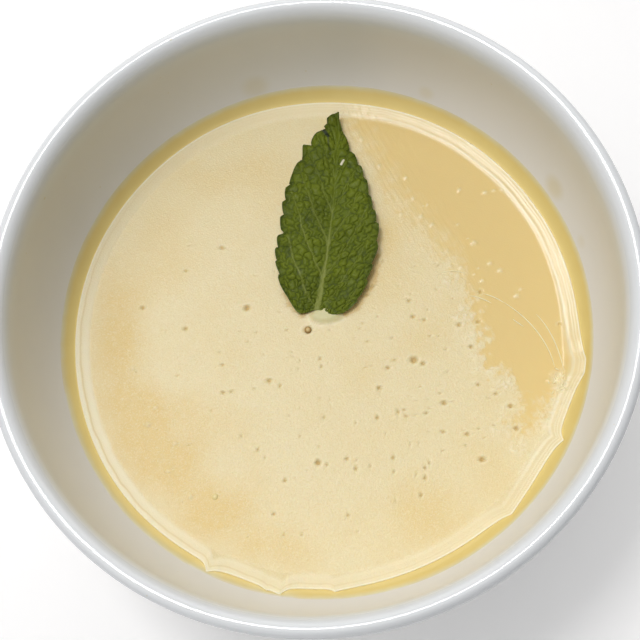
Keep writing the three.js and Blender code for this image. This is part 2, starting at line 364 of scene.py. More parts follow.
@dataclass(frozen=True)
class Patches:
    """Uneven patches: the noise that they come from, and the fade that cuts them out of it."""

    lumps: Lumps
    fade: Fade


class Recipe:
    """One procedural material, built from its Principled shader backwards."""

    def __init__(self, name: str) -> None:
        """Starts a material that holds only its shader and its output.

        Args:
            name: Name of the material.
        """
        self.material = bpy.data.materials.new(name)
        self.material.use_nodes = True
        self.tree = self.material.node_tree
        self.shader = self.tree.nodes["Principled BSDF"]
        coordinates = self.tree.nodes.new("ShaderNodeTexCoord")
        scale = self.tree.nodes.new("ShaderNodeMapping")
        scale.inputs["Scale"].default_value = (1 / MM, 1 / MM, 1 / MM)
        self.tree.links.new(coordinates.outputs["Object"], scale.inputs["Vector"])
        self.place = scale.outputs["Vector"]

    def plug(self, value: object, socket: Socket) -> None:
        """Links a socket to an input, or sets the input where a plain value is given.

        Args:
            value: A socket, a number or a colour.
            socket: The input.
        """
        if isinstance(value, Socket):
            self.tree.links.new(value, socket)
        elif socket.type == "RGBA":
            socket.default_value = (*value, 1)
        else:
            socket.default_value = value

    def maths(self, kind: str, *values: object) -> Socket:
        """Adds a Math node.

        Args:
            kind: Operation, such as ADD.
            values: Sockets or numbers for its inputs, in order.

        Returns:
            The result.
        """
        node = self.tree.nodes.new("ShaderNodeMath")
        node.operation = kind
        for value, socket in zip(values, node.inputs):
            self.plug(value, socket)
        return node.outputs[0]

    def times(self, first: object, second: object) -> Socket:
        """The product of two values."""
        return self.maths("MULTIPLY", first, second)

    def swing(self, noise: object, breadth: float) -> Socket:
        """A noise that is moved to lie about 0, from half of breadth below it to half above."""
        return self.maths("MULTIPLY_ADD", noise, breadth, -breadth / 2)

    def value(self, key: str) -> Socket:
        """Reads a value that the mesh's points carry.

        Args:
            key: Name of the value.

        Returns:
            The value.
        """
        node = self.tree.nodes.new("ShaderNodeAttribute")
        node.attribute_name = key
        return node.outputs["Fac"]

    def height(self) -> Socket:
        """Reads the height above the table, in millimetres.

        Returns:
            The height.
        """
        node = self.tree.nodes.new("ShaderNodeSeparateXYZ")
        self.tree.links.new(self.place, node.inputs[0])
        return node.outputs["Z"]

    def noise(self, lumps: Lumps) -> Socket:
        """Adds noise.

        Args:
            lumps: Form of the noise.

        Returns:
            The noise, about 0.5 on average.
        """
        node = self.tree.nodes.new("ShaderNodeTexNoise")
        node.inputs["Scale"].default_value = 1 / lumps.size
        node.inputs["Detail"].default_value = lumps.detail
        vector = self.place
        if lumps.stretch != 1:
            turn = self.tree.nodes.new("ShaderNodeMapping")
            turn.vector_type = "TEXTURE"
            turn.inputs["Rotation"].default_value = (0, 0, lumps.heading * DEGREE)
            turn.inputs["Scale"].default_value = (lumps.stretch, 1, 1)
            self.tree.links.new(self.place, turn.inputs["Vector"])
            vector = turn.outputs["Vector"]
        self.tree.links.new(vector, node.inputs["Vector"])
        return node.outputs["Fac"]

    def step(self, value: object, fade: Fade) -> Socket:
        """Adds a smooth step.

        Args:
            value: What is stepped.
            fade: Where, and what it gives.

        Returns:
            The step.
        """
        node = self.tree.nodes.new("ShaderNodeMapRange")
        node.interpolation_type = "SMOOTHSTEP"
        keys = ("From Min", "From Max", "To Min", "To Max")
        for key, number in zip(keys, (fade.start, fade.end, fade.first, fade.last)):
            node.inputs[key].default_value = number
        self.plug(value, node.inputs["Value"])
        return node.outputs["Result"]

    def patches(self, patches: Patches) -> Socket:
        """Patches cut out of a noise."""
        return self.step(self.noise(patches.lumps), patches.fade)

    def line(self, value: object, line: Line) -> Socket:
        """A line: its strength where value is at its middle, fading to 0 at its breadth."""
        away = self.maths("ABSOLUTE", self.maths("SUBTRACT", value, line.middle))
        return self.step(away, Fade(line.breadth, 0.15 * line.breadth, line.share))

    def spot(self, middle: Spot, radius: float) -> Socket:
        """Adds a round spot.

        Args:
            middle: The place, in millimetres.
            radius: Where it has faded to 0.

        Returns:
            1 at the place, fading to 0.
        """
        node = self.tree.nodes.new("ShaderNodeVectorMath")
        node.operation = "DISTANCE"
        node.inputs[1].default_value = middle
        self.tree.links.new(self.place, node.inputs[0])
        return self.step(node.outputs["Value"], Fade(radius, 0.2 * radius))

    def mix(self, share: object, first: object, second: object) -> Socket:
        """Mixes two colours.

        Args:
            share: How much of the second colour shows.
            first: Colour where share is 0.
            second: Colour where share is 1.

        Returns:
            The mixed colour.
        """
        node = self.tree.nodes.new("ShaderNodeMix")
        node.data_type = "RGBA"
        self.plug(share, node.inputs["Factor"])
        # A Mix node has sockets for each type of value. These are its colours.
        self.plug(first, node.inputs[6])
        self.plug(second, node.inputs[7])
        return node.outputs[2]

    def tint(self, key: str, colour: object, tint: Colour) -> Socket:
        """Lays a tint over a colour by the value that the points carry under key."""
        return self.mix(self.value(key), colour, tint)

    def bump(self, height: object, depth: float) -> None:
        """Adds relief to the shader, over any that it has.

        Args:
            height: The relief, from 0 to 1.
            depth: Its depth, in millimetres.
        """
        node = self.tree.nodes.new("ShaderNodeBump")
        node.inputs["Distance"].default_value = depth * MM
        self.plug(height, node.inputs["Height"])
        normal = self.shader.inputs["Normal"]
        if normal.is_linked:
            self.tree.links.new(normal.links[0].from_socket, node.inputs["Normal"])
        self.tree.links.new(node.outputs["Normal"], normal)

    def finish(self, **sockets: object) -> Material:
        """Sets or links the shader's inputs, by name with _ for a space.

        Args:
            sockets: Input name and what goes into it.

        Returns:
            The material.
        """
        for key, value in sockets.items():
            self.plug(value, self.shader.inputs[key.replace("_", " ")])
        return self.material


@dataclass(frozen=True)
class Smear:
    """A faint stain on the glaze: its place and radius in millimetres, and its strength."""

    middle: Spot
    radius: float
    share: float


SMEARS = (
    Smear((57.3, 34.4, 35.5), 4.5, 0.50),
    Smear((62.8, 20.4, 35.0), 2.5, 0.20),
    Smear((26.3, 61.3, 34.5), 3.0, 0.30),
    Smear((-17.5, 64.2, 34.5), 5.0, 0.35),
    Smear((44.5, -50.0, 44.0), 2.6, 0.20),
    Smear((-63.9, -35.0, 50.0), 0.9, 0.80),
)


@dataclass(frozen=True)
class GlazeFinish:
    """Glossy off-white glaze, bare and rough on the edge of the foot, and painted lighter and bluer towards
    the rim for the cool light it catches there.
    """

    glaze: Colour = (0.795, 0.79, 0.775)
    cloudy: Colour = (0.765, 0.76, 0.745)
    # Painted light: the lighter, bluer glaze towards the rim stands for the cool light and reflection that
    # the rim catches.
    rim: Colour = (0.82, 0.85, 0.87)
    biscuit: Colour = (0.62, 0.56, 0.46)
    smear: Colour = (0.68, 0.60, 0.36)
    clouds: Patches = Patches(Lumps(26, 2), Fade(0.35, 0.7, 0.5))
    pinholes: Patches = Patches(Lumps(2.2, 1), Fade(0.21, 0.17, 0.5))
    painted_rim_light: Fade = Fade(50, 59.5, 0.9)
    rim_polish: Fade = Fade(58.3, 60.5, 0.07, 0.34)
    bare_height: Fade = Fade(1.45, 1.2)
    bare_waver: Lumps = Lumps(3)
    grit: Lumps = Lumps(0.5)
    grit_depth: float = 0.12
    refraction: float = 1.52

    def material(self) -> Material:
        """Makes the bowl's material, painted lighter and bluer towards the rim, with faint smears on the
        wall and pinholes in the glaze.

        Returns:
            The material.
        """
        recipe = Recipe("white_glaze")
        colour = recipe.mix(recipe.patches(self.clouds), self.glaze, self.cloudy)
        # Painted light: lighter and bluer towards the rim.
        colour = recipe.mix(recipe.step(recipe.height(), self.painted_rim_light), colour, self.rim)
        for smear in SMEARS:
            mark = recipe.times(recipe.spot(smear.middle, smear.radius), smear.share)
            colour = recipe.mix(mark, colour, self.smear)
        colour = recipe.mix(recipe.patches(self.pinholes), colour, self.smear)
        wavering = recipe.maths("ADD", recipe.height(), recipe.noise(self.bare_waver))
        bare = recipe.step(wavering, self.bare_height)
        colour = recipe.mix(bare, colour, self.biscuit)
        recipe.bump(recipe.times(recipe.noise(self.grit), bare), self.grit_depth)
        rough = recipe.maths("MAXIMUM", recipe.step(recipe.height(), self.rim_polish), bare)
        return recipe.finish(Base_Color=colour, Roughness=rough, IOR=self.refraction)


@dataclass(frozen=True)
class CreamFinish:
    """Set cream: a smooth yellow surface, most of it under a paler, grainy skin whose paleness is partly a
    painted reflection of the overhead light. Its lip has painted highlights and shade lines, its pits
    painted shade, and the leaf lays a painted shadow on it.

    Depths are in millimetres, and so are the lines' distances in from the lip's crest.
    """

    yellow: Colour = (0.785, 0.595, 0.24)
    # Paler skin colour: partly the skin's own paleness, partly a painted reflection of the overhead light.
    pale: Colour = (0.80, 0.695, 0.415)
    fleck: Colour = (0.90, 0.81, 0.56)
    cloudy: Colour = (0.79, 0.665, 0.37)
    tan: Colour = (0.745, 0.55, 0.20)
    lip: Colour = (0.86, 0.75, 0.47)
    # The froth's colour, also used for the painted highlights on the lip's lines and crest.
    crest: Colour = (0.93, 0.86, 0.64)
    # Painted shade in the furrows between the lip's ridges.
    furrow_shade: Colour = (0.70, 0.57, 0.30)
    # Pale beads of foam; the same colour paints the glints round the pits, the highlight on the mound's
    # lower edge and the crumple's highlights.
    bead_and_glint: Colour = (0.90, 0.81, 0.54)
    mound: Colour = (0.60, 0.59, 0.30)
    # Painted shade in the pits of the burst bubbles.
    pit: Colour = (0.58, 0.40, 0.15)
    # Painted shadow of the leaf on the cream.
    painted_leaf_shadow: Colour = (0.66, 0.47, 0.17)

    skin_edge: Fade = Fade(-1.3, 1.3)
    skin_rags: Lumps = Lumps(1.1, 6)
    rag_breadth: float = 3.8
    streaks: Lumps = Lumps(1.1, 3, stretch=5, heading=-62)
    streak_breadth: float = 1.6
    streak_depth: float = 0.10
    grain: Lumps = Lumps(0.34, 2)
    light_grain: Fade = Fade(0.50, 0.70, 0.32)
    dark_grain: Fade = Fade(0.45, 0.28, 0.28)
    grain_on_skin: Fade = Fade(0, 1, 1, 0.22)
    grain_depth: float = 0.09
    mottle: Lumps = Lumps(1.6, 3)
    mottle_on_tan: Fade = Fade(0.3, 0.62, 1, 0.8)
    mottle_depth: float = 0.12
    clouds: Patches = Patches(Lumps(13, 3), Fade(0.3, 0.7))
    cloud_share: float = 0.5
    froth: Patches = Patches(Lumps(1.0, 4), Fade(0.38, 0.62))
    froth_depth: float = 0.18
    swell: Lumps = Lumps(5, 2)
    swell_depth: float = 0.05
    roughness: Fade = Fade(0, 1, 0.30, 0.22)
    refraction: float = 1.4
    glow_share: float = 0.2
    glow_reach: Colour = (1.0, 0.6, 0.25)
    glow_depth: float = 0.9

    lip_band: Fade = Fade(4.3, 1.9, 0.6)
    lip_waver: float = 0.7
    # Painted shade lines in the lip's furrows, painted highlight lines on its ridges, a painted highlight
    # band, edge and shade line on the left, and a painted highlight along its crest.
    shade_lines: tuple[Line, ...] = (Line(0.6, 0.2, 0.35), Line(1.25, 0.22, 0.4), Line(2.15, 0.5, 0.3))
    highlight_lines: tuple[Line, ...] = (
        Line(0.9, 0.25, 0.5), Line(1.55, 0.3, 0.45), Line(2.9, 0.6, 0.75), Line(3.4, 1.0, 0.25),
    )
    left_highlight: Line = Line(2.4, 1.5, 0.8)
    left_edge_highlight: Fade = Fade(1.1, 0.75, 0.85)
    left_shade_line: Line = Line(1.25, 0.28, 0.5)
    crest_highlight: Fade = Fade(0.42, 0.22, 0.95)

    def material(self) -> Material:
        """Makes the cream's material.

        The points carry the skin's share (pale partly by painted reflection), ragged, tan, streaked, froth,
        inward (the distance in from the lip's crest), lines (how strong the lip's painted lines are), the
        left band of painted lines, the leaf's painted shadow, mound, the pits' painted shade and the beads
        with their painted glints.

        Returns:
            The material.
        """
        recipe = Recipe("set_cream")
        streaks = recipe.noise(self.streaks)
        rags = recipe.swing(recipe.noise(self.skin_rags), self.rag_breadth)
        rags = recipe.maths("ADD", rags, recipe.swing(streaks, self.streak_breadth))
        rags = recipe.times(rags, recipe.value("ragged"))
        # The skin's share, which also carries the painted reflection of the overhead light on the pale
        # zone.
        skin_and_sheen = recipe.step(recipe.maths("ADD", recipe.value("skin_and_sheen"), rags), self.skin_edge)
        grain = recipe.noise(self.grain)
        mottle = recipe.noise(self.mottle)
        cloud = recipe.times(recipe.patches(self.clouds), self.cloud_share)
        pale = recipe.mix(cloud, self.pale, self.cloudy)
        tan = recipe.times(recipe.value("tan"), recipe.step(mottle, self.mottle_on_tan))
        pale = recipe.mix(tan, pale, self.tan)
        pale = recipe.mix(recipe.step(grain, self.light_grain), pale, self.fleck)
        pale = recipe.mix(recipe.step(grain, self.dark_grain), pale, self.tan)
        froth = recipe.times(recipe.value("froth"), recipe.patches(self.froth))
        pale = recipe.mix(froth, pale, self.crest)
        colour = self.lip_colour(recipe, recipe.mix(skin_and_sheen, self.yellow, pale))
        # Over the colour go the mound's tint, the beads with their painted glints, painted shade in the
        # pits and the leaf's painted shadow.
        tints = {"mound": self.mound, "bead_and_glint": self.bead_and_glint, "pit": self.pit, "painted_leaf_shadow": self.painted_leaf_shadow}
        for key, tint in tints.items():
            colour = recipe.tint(key, colour, tint)
        recipe.bump(recipe.times(recipe.step(skin_and_sheen, self.grain_on_skin), grain), self.grain_depth)
        recipe.bump(froth, self.froth_depth)
        recipe.bump(recipe.times(mottle, recipe.value("tan")), self.mottle_depth)
        recipe.bump(recipe.times(streaks, recipe.value("streaked")), self.streak_depth)
        recipe.bump(recipe.noise(self.swell), self.swell_depth)
        return recipe.finish(
            Base_Color=colour,
            Roughness=recipe.step(skin_and_sheen, self.roughness),
            IOR=self.refraction,
            Subsurface_Weight=self.glow_share,
            Subsurface_Radius=self.glow_reach,
            Subsurface_Scale=self.glow_depth * MM,
        )

    def lip_colour(self, recipe: Recipe, colour: Socket) -> Socket:
        """Lays the lip's pale band over a colour, with wavering painted highlight lines and painted shade
        lines, and a painted highlight along its crest.

        Args:
            recipe: The cream's material.
            colour: Colour of the flat middle.

        Returns:
            The colour with the lip.
        """
        inward = recipe.value("inward")
        lines, left = recipe.value("lines"), recipe.value("left_painted_lines")
        wavering = recipe.maths("ADD", inward, recipe.swing(recipe.noise(self.swell), self.lip_waver))
        colour = recipe.mix(recipe.step(wavering, self.lip_band), colour, self.lip)
        # Painted shade lines in the furrows, painted highlight lines on the ridges, then the left's painted
        # band and the crest's painted highlight.
        for line in self.shade_lines:
            colour = recipe.mix(recipe.times(recipe.line(wavering, line), lines), colour, self.furrow_shade)
        for line in self.highlight_lines:
            colour = recipe.mix(recipe.times(recipe.line(wavering, line), lines), colour, self.crest)
        colour = recipe.mix(recipe.times(recipe.line(wavering, self.left_highlight), left), colour, self.crest)
        colour = recipe.mix(recipe.times(recipe.step(wavering, self.left_edge_highlight), left), colour, self.crest)
        colour = recipe.mix(recipe.times(recipe.line(wavering, self.left_shade_line), left), colour, self.furrow_shade)
        return recipe.mix(recipe.step(inward, self.crest_highlight), colour, self.crest)


@dataclass(frozen=True)
class SyrupFinish:
    """Wet yellow syrup that clears to nothing where it thins out on the glaze."""

    deep: Colour = (0.80, 0.635, 0.235)
    darker: Colour = (0.74, 0.56, 0.19)
    thin: Colour = (0.78, 0.72, 0.45)
    glaze: Colour = GlazeFinish.glaze
    waver: Lumps = Lumps(2.5, 3)
    waver_breadth: float = 0.5
    thin_from: Fade = Fade(0.1, 1.1)
    deep_from: Fade = Fade(0.6, 2.2)
    clouds: Patches = Patches(Lumps(9, 2), Fade(0.35, 0.7, 0.3))
    ripples: Lumps = Lumps(4, 2)
    ripple_depth: float = 0.03
    roughness: float = 0.16
    refraction: float = 1.36

    def material(self) -> Material:
        """Makes the syrup's material. The points carry depth, how far they lie below its upper line.

        Returns:
            The material.
        """
        recipe = Recipe("yellow_syrup")
        depth = recipe.value("depth")
        depth = recipe.maths("ADD", depth, recipe.swing(recipe.noise(self.waver), self.waver_breadth))
        colour = recipe.mix(recipe.step(depth, self.thin_from), self.glaze, self.thin)
        colour = recipe.mix(recipe.step(depth, self.deep_from), colour, self.deep)
        colour = recipe.mix(recipe.patches(self.clouds), colour, self.darker)
        recipe.bump(recipe.noise(self.ripples), self.ripple_depth)
        return recipe.finish(Base_Color=colour, Roughness=self.roughness, IOR=self.refraction)


@dataclass(frozen=True)
class LeafFinish:
    """Satin quilted green, pale along the midrib, with painted shade in its grooves, along its margins and
    in the fold by its tip, and painted light on the tops of its cells.
    """

    blade: Colour = (0.090, 0.125, 0.008)
    light: Colour = (0.185, 0.225, 0.018)
    # Darker green for random patches, also painted shade along the margins and in the grooves.
    dark_and_shade: Colour = (0.030, 0.046, 0.004)
    rib: Colour = (0.23, 0.26, 0.06)
    # Painted shade in the fold beside the tip.
    fold_shade: Colour = (0.020, 0.027, 0.022)
    # A pale slit-shaped mark near the right margin.
    pale_slit: Colour = (0.85, 0.80, 0.62)
    under: Colour = (0.20, 0.26, 0.10)
    shades: Patches = Patches(Lumps(7, 2), Fade(0.4, 0.75, 0.4))
    speckles: Patches = Patches(Lumps(0.4, 2), Fade(0.35, 0.75, 0.35))
    fuzz: Lumps = Lumps(0.7, 3)
    fuzz_depth: float = 0.10
    sheen: Patches = Patches(Lumps(1.2), Fade(0.3, 0.7, 0.42, 0.30))
    refraction: float = 1.4
    gloss: float = 0.16

    def material(self) -> Material:
        """Makes the leaf's material.

        The points carry rib, vein, the grooves' painted shade, tone (with painted light on the cells'
        tops), margin (painted shade along the margins and tip, and a dark patch), the fold's painted shade,
        the pale slit and under.

        Returns:
            The material.
        """
        recipe = Recipe("mint_green")
        colour = recipe.mix(recipe.value("tone"), self.blade, self.light)
        colour = recipe.mix(recipe.patches(self.shades), colour, self.dark_and_shade)
        colour = recipe.mix(recipe.patches(self.speckles), colour, self.light)
        # Painted shade: the margins, the grooves and the fold take dark colours.
        tints = {"margin": self.dark_and_shade, "groove_shade": self.dark_and_shade, "vein": self.rib, "rib": self.rib,
                 "fold_shade": self.fold_shade, "pale_slit": self.pale_slit, "under": self.under}
        for key, tint in tints.items():
            colour = recipe.tint(key, colour, tint)
        recipe.bump(recipe.noise(self.fuzz), self.fuzz_depth)
        return recipe.finish(
            Base_Color=colour,
            Roughness=recipe.patches(self.sheen),
            IOR=self.refraction,
            Specular_IOR_Level=self.gloss,
        )


@dataclass(frozen=True)
class ThreadFinish:
    """Thin pale threads and flakes of cream."""

    thread: Colour = (0.95, 0.87, 0.56)
    dull: Colour = CreamFinish.pale
    clouds: Patches = Patches(Lumps(2), Fade(0.3, 0.7, 0.3))
    roughness: float = 0.3
    refraction: float = 1.4

    def material(self) -> Material:
        """Makes the threads' material.

        Returns:
            The material.
        """
        recipe = Recipe("cream_threads")
        colour = recipe.mix(recipe.patches(self.clouds), self.thread, self.dull)
        return recipe.finish(Base_Color=colour, Roughness=self.roughness, IOR=self.refraction)


@dataclass(frozen=True)
class BubbleFinish:
    """Thin wet film, with painted shade round its foot, where it stands over the hole under it."""

    film: Colour = (0.62, 0.46, 0.19)
    # Painted shade of the hole under the film's foot.
    ring: Colour = (0.36, 0.22, 0.07)
    shade_ring_from: Fade = Fade(0.35, 0.8)
    ripples: Lumps = Lumps(0.3, 2)
    ripple_depth: float = 0.01
    roughness: float = 0.06
    refraction: float = 1.4

    def material(self) -> Material:
        """Makes the bubble's material. The points carry edge, 1 at the bubble's foot.

        Returns:
            The material.
        """
        recipe = Recipe("wet_bubble")
        colour = recipe.mix(recipe.step(recipe.value("edge"), self.shade_ring_from), self.film, self.ring)
        recipe.bump(recipe.noise(self.ripples), self.ripple_depth)
        return recipe.finish(Base_Color=colour, Roughness=self.roughness, IOR=self.refraction)


@dataclass(frozen=True)
class FloorFinish:
    """Pale matt table."""

    light: Colour = (0.97, 0.97, 0.97)
    dull: Colour = (0.95, 0.95, 0.95)
    clouds: Lumps = Lumps(400, 1)
    roughness: float = 0.8
    glow: float = 0.16
    glow_colour: Colour = (1, 1, 1)

    def material(self) -> Material:
        """Makes the floor's material.

        Returns:
            The material.
        """
        recipe = Recipe("pale_floor")
        return recipe.finish(
            Base_Color=recipe.mix(recipe.noise(self.clouds), self.light, self.dull),
            Roughness=self.roughness,
            Emission_Color=self.glow_colour,
            Emission_Strength=self.glow,
        )


# ---------------------------------------------------------------- bowl


@dataclass(frozen=True)
class Wall:
    """A super-elliptic wall, upright at its shoulder and level at its floor."""

    radius: float
    shoulder: float
    floor: float
    squareness: float = 2.47

    def radius_at(self, z: Array) -> Array:
        """Radius at height z: R (1 - d^n)^(1/n), with d the share dropped from the shoulder."""
        drop = np.clip((self.shoulder - z) / (self.shoulder - self.floor), 0, 1)
        return self.radius * (1 - drop ** self.squareness) ** (1 / self.squareness)

    def height_at(self, r: float) -> float:
        """Height at radius r, by the same formula turned round."""
        level = (1 - (r / self.radius) ** self.squareness) ** (1 / self.squareness)
        return self.shoulder - (self.shoulder - self.floor) * level

    def points(self, low: float, high: float, steps: int) -> Array:
        """(r, z) points along the wall, evenly turned: r = R sin(t)^(2/n), drop = cos(t)^(2/n).

        Args:
            low: Height of the first point.
            high: Height of the last one.
            steps: Steps between them.

        Returns:
            The points, as rows.
        """
        depth = self.shoulder - self.floor
        ends = [math.acos(((self.shoulder - z) / depth) ** (self.squareness / 2)) for z in (low, high)]
        turn = np.linspace(*ends, steps + 1)
        reach = np.clip(np.sin(turn), 0, 1) ** (2 / self.squareness)
        drop = np.clip(np.cos(turn), 0, 1) ** (2 / self.squareness)
        return np.stack((self.radius * reach, self.shoulder - depth * drop), axis=-1)


@dataclass
class Bowl:
    """The glazed bowl: two walls, a rim that rolls over inwards, and a turned foot ring."""

    rim_radius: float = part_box("bowl")[1][0] / MM
    height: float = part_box("bowl")[1][2] / MM
    outer_round: float = 1.8
    roll_breadth: float = 3.3
    roll_depth: float = 5.5
    inside_floor: float = 6.0
    floor_thickness: float = 3.4
    foot_outer: float = 38.5
    foot_inner: float = 34.5
    foot_taper: float = 1.2
    foot_bevel: float = 0.7
    bevel_round: float = 0.3
    foot_fillet: Place = (0.25, 0.5)
    wall_steps: int = 60
    roll_steps: int = 26
    edge_steps: int = 14
    recess_steps: int = 10
    turns: int = 288
    wander: Uneven = Uneven(0.1, 45, seed=4)
    wander_radius: float = 25
    wander_from: Range = (34, 50)
    wander_to: Range = (61, 50)

    @property
    def crest_radius(self) -> float:
        """Radius of the rim's highest line."""
        return self.rim_radius - self.outer_round

    @property
    def inside(self) -> Wall:
        """The inside wall."""
        shoulder = self.height - self.roll_depth
        return Wall(self.crest_radius - self.roll_breadth, shoulder, self.inside_floor)

    @property
    def outside(self) -> Wall:
        """The outside wall."""
        shoulder = self.height - self.outer_round
        return Wall(self.rim_radius, shoulder, self.inside_floor - self.floor_thickness)

    def quarter(self, level: float, reach: Place, turn: Place, steps: int) -> Array:
        """Points over a quarter of an ellipse about the crest's radius.

        Args:
            level: Height of the ellipse's middle.
            reach: Its half breadth and half height.
            turn: Angles of its first and last point.
            steps: Steps between them.

        Returns:
            (r, z) points, without the first.
        """
        angle = np.linspace(*turn, steps + 1)[1:]
        r = self.crest_radius + reach[0] * np.cos(angle)
        return np.stack((r, level + reach[1] * np.sin(angle)), axis=-1)

    def profile(self) -> Array:
        """The bowl's section: from the middle of the floor over the rim to that of the underside.

        Returns:
            (r, z) points.
        """
        inside, outside = self.inside, self.outside
        roll, edge = (self.roll_breadth, self.roll_depth), (self.outer_round, self.outer_round)
        foot_top = outside.height_at(self.foot_outer + self.foot_taper)
        bevel, rounding = self.foot_bevel, self.bevel_round * self.foot_bevel
        foot = np.array([
            (self.foot_outer + self.foot_fillet[0], foot_top - self.foot_fillet[1]),
            (self.foot_outer, bevel),
            (self.foot_outer - rounding, rounding),
            (self.foot_outer - bevel, 0),
            (self.foot_inner + bevel, 0),
            (self.foot_inner + rounding, rounding),
            (self.foot_inner, bevel),
        ])
        recess_top = outside.height_at(self.foot_inner - self.foot_taper)
        return np.concatenate((
            inside.points(inside.floor, inside.shoulder, self.wall_steps),
            self.quarter(inside.shoulder, roll, (math.pi, math.pi / 2), self.roll_steps),
            self.quarter(outside.shoulder, edge, (math.pi / 2, 0), self.edge_steps),
            outside.points(outside.shoulder, foot_top, self.wall_steps)[1:],
            foot,
            outside.points(recess_top, outside.floor, self.recess_steps),
        ))

    def build(self) -> Piece:
        """Makes the bowl and puts it in the place of its solid.

        Returns:
            The bowl.
        """
        surface = lathe(self.profile()[::-1], self.turns)
        x, y, z = surface.points.T
        bearing = np.arctan2(y, x)
        # A hand-glazed wall isn't quite true: it wanders a little between the cream and the rim.
        wander = self.wander.at(bearing * self.wander_radius, z) * smooth_step(*self.wander_from, z)
        surface.points[:, 0] += wander * np.cos(bearing) * smooth_step(*self.wander_to, z)
        surface.points[:, 1] += wander * np.sin(bearing) * smooth_step(*self.wander_to, z)
        piece = surface.piece("glazed_bowl", GlazeFinish().material())
        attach(piece, "root")
        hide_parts("bowl")
        return piece


# ---------------------------------------------------------------- set cream


@dataclass(frozen=True)
class Cusp:
    """A point where the lip clings to the wall: bearing and fall-off in degrees, reach in mm."""

    bearing: float
    reach: float
    leftward: float
    rightward: float


@dataclass(frozen=True)
class Dimple:
    """A burst bubble, a bead of foam or a drop: its place and radius in millimetres."""

    x: float
    y: float
    radius: float


CUSPS = (
    Cusp(-8.5, 3.35, 4.5, 4.1),
    Cusp(-25.3, 1.84, 1.2, 2.6),
    Cusp(-44.8, 1.68, 8.0, 2.85),
    Cusp(-86.6, 0.85, 3.8, 0.8),
    Cusp(-98.0, 2.2, 1.2, 4.8),
    Cusp(-101.2, 0.5, 0.7, 0.7),
    Cusp(-114.4, 2.12, 1.9, 0.95),
)

# Burst bubbles large enough to tell apart; the small ones between them are drawn by a rule.
PITS = tuple(Dimple(*numbers) for numbers in (
    (-18.9, 6.8, 0.85), (-25.7, 22.8, 0.55), (-3.5, 0.9, 1.0), (-12.9, -11.9, 0.65),
    (-10.2, -13.2, 0.42), (-24.2, -14.8, 0.5), (-22.2, -14.6, 0.42), (-24.5, -7.8, 0.42),
    (-34.7, 16.8, 0.42), (-45.3, 7.2, 0.55), (-34.2, 1.6, 0.55), (-0.6, -32.2, 0.8), (1.6, -32.7, 0.4),
    (-0.1, -8.5, 0.4), (-0.4, -6.5, 0.42), (-15.2, -29.0, 0.42), (14.0, -13.9, 0.6), (18.6, -19.9, 0.5),
    (20.1, -19.4, 0.42), (20.5, -20.9, 0.42), (13.6, -21.3, 0.55), (25.4, -20.2, 0.45),
    (29.7, -17.7, 0.7), (29.4, -24.8, 0.5), (35.1, -25.4, 0.6), (6.3, -31.3, 0.5), (8.5, -33.7, 0.5),
    (17.4, -31.1, 0.5), (17.6, -34.5, 0.42), (25.0, -33.5, 0.5), (25.0, -35.9, 0.5), (26.0, -32.3, 0.4),
    (-8.5, -36.5, 0.5), (38.5, -31.5, 0.8), (-11.0, -44.5, 0.45), (6.7, -44.9, 0.42),
    (24.0, -40.0, 0.5), (21.4, 8.1, 0.5), (22.4, 4.0, 0.6), (25.1, 3.1, 0.5), (33.6, 1.8, 0.6),
    (38.2, 2.5, 0.5), (38.9, 10.1, 0.5), (22.5, -7.0, 1.0), (24.7, -7.9, 0.6), (16.2, -8.9, 0.55),
    (45.6, -18.6, 0.65), (46.8, -24.0, 0.7), (42.2, -15.5, 0.5), (36.4, -3.8, 0.6), (38.0, -13.3, 0.5),
    (12.6, 12.0, 0.4), (37.4, 49.3, 0.4), (50.8, 33.0, 0.3), (57.8, 1.7, 0.35),
))

# Beads of foam that stand up from the surface.
BEADS = tuple(Dimple(*numbers) for numbers in (
    (20.8, 40.7, 0.4), (34.2, 37.1, 0.45), (40.7, 36.2, 0.5), (42.9, 36.7, 0.35), (44.9, 36.9, 0.35),
    (22.6, 35.0, 0.3), (19.5, 30.7, 0.4), (24.6, 30.1, 0.5), (27.3, 27.9, 0.45), (37.7, 22.9, 0.6),
    (41.5, 17.5, 0.45), (34.3, 16.4, 0.5), (44.0, 15.6, 0.55), (39.5, 13.0, 0.45), (47.9, 9.0, 0.5),
    (14.0, 44.0, 0.3), (9.5, 51.5, 0.5), (-42.5, -22.7, 0.7), (-40.8, -18.5, 0.5), (-47.0, -8.5, 0.45),
    (-35.6, -27.5, 0.5), (-37.0, -34.3, 0.45), (-31.1, -40.4, 0.5), (-39.5, 1.0, 0.4),
))

# Where the cream is bare and yellow, without the pale skin and its painted reflection: from the leaf's tip
# down to the right-hand cusp.
BARE = (
    (5.2, 58.0), (13.0, 44.4), (16.8, 37.5), (22.3, 30.6), (28.0, 23.8), (32.9, 17.2), (36.4, 10.6),
    (36.9, 6.8), (38.7, 1.6), (39.8, -3.4), (40.4, -9.2), (45.9, -11.0), (48.6, -15.9), (46.4, -25.2),
    (49.3, -24.3), (56.7, -15.0), (66.0, -11.0), (72.0, 30.0), (40.0, 66.0), (5.0, 66.0),
)

# Painted shadow of the leaf: the brown on the cream under and beside the leaf's lower margin.
LEAF_SHADOW = (
    (10.0, 20.0), (13.9, 20.2), (14.0, 18.0), (13.3, 13.4), (11.8, 10.5), (10.1, 8.3), (9.1, 6.2),
    (7.4, 4.8), (5.6, 4.4), (4.0, 6.5), (-3.5, 6.5), (-4.5, 4.4), (-6.4, 4.9), (-8.2, 7.4),
    (-9.7, 10.3), (-8.0, 14.0),
)

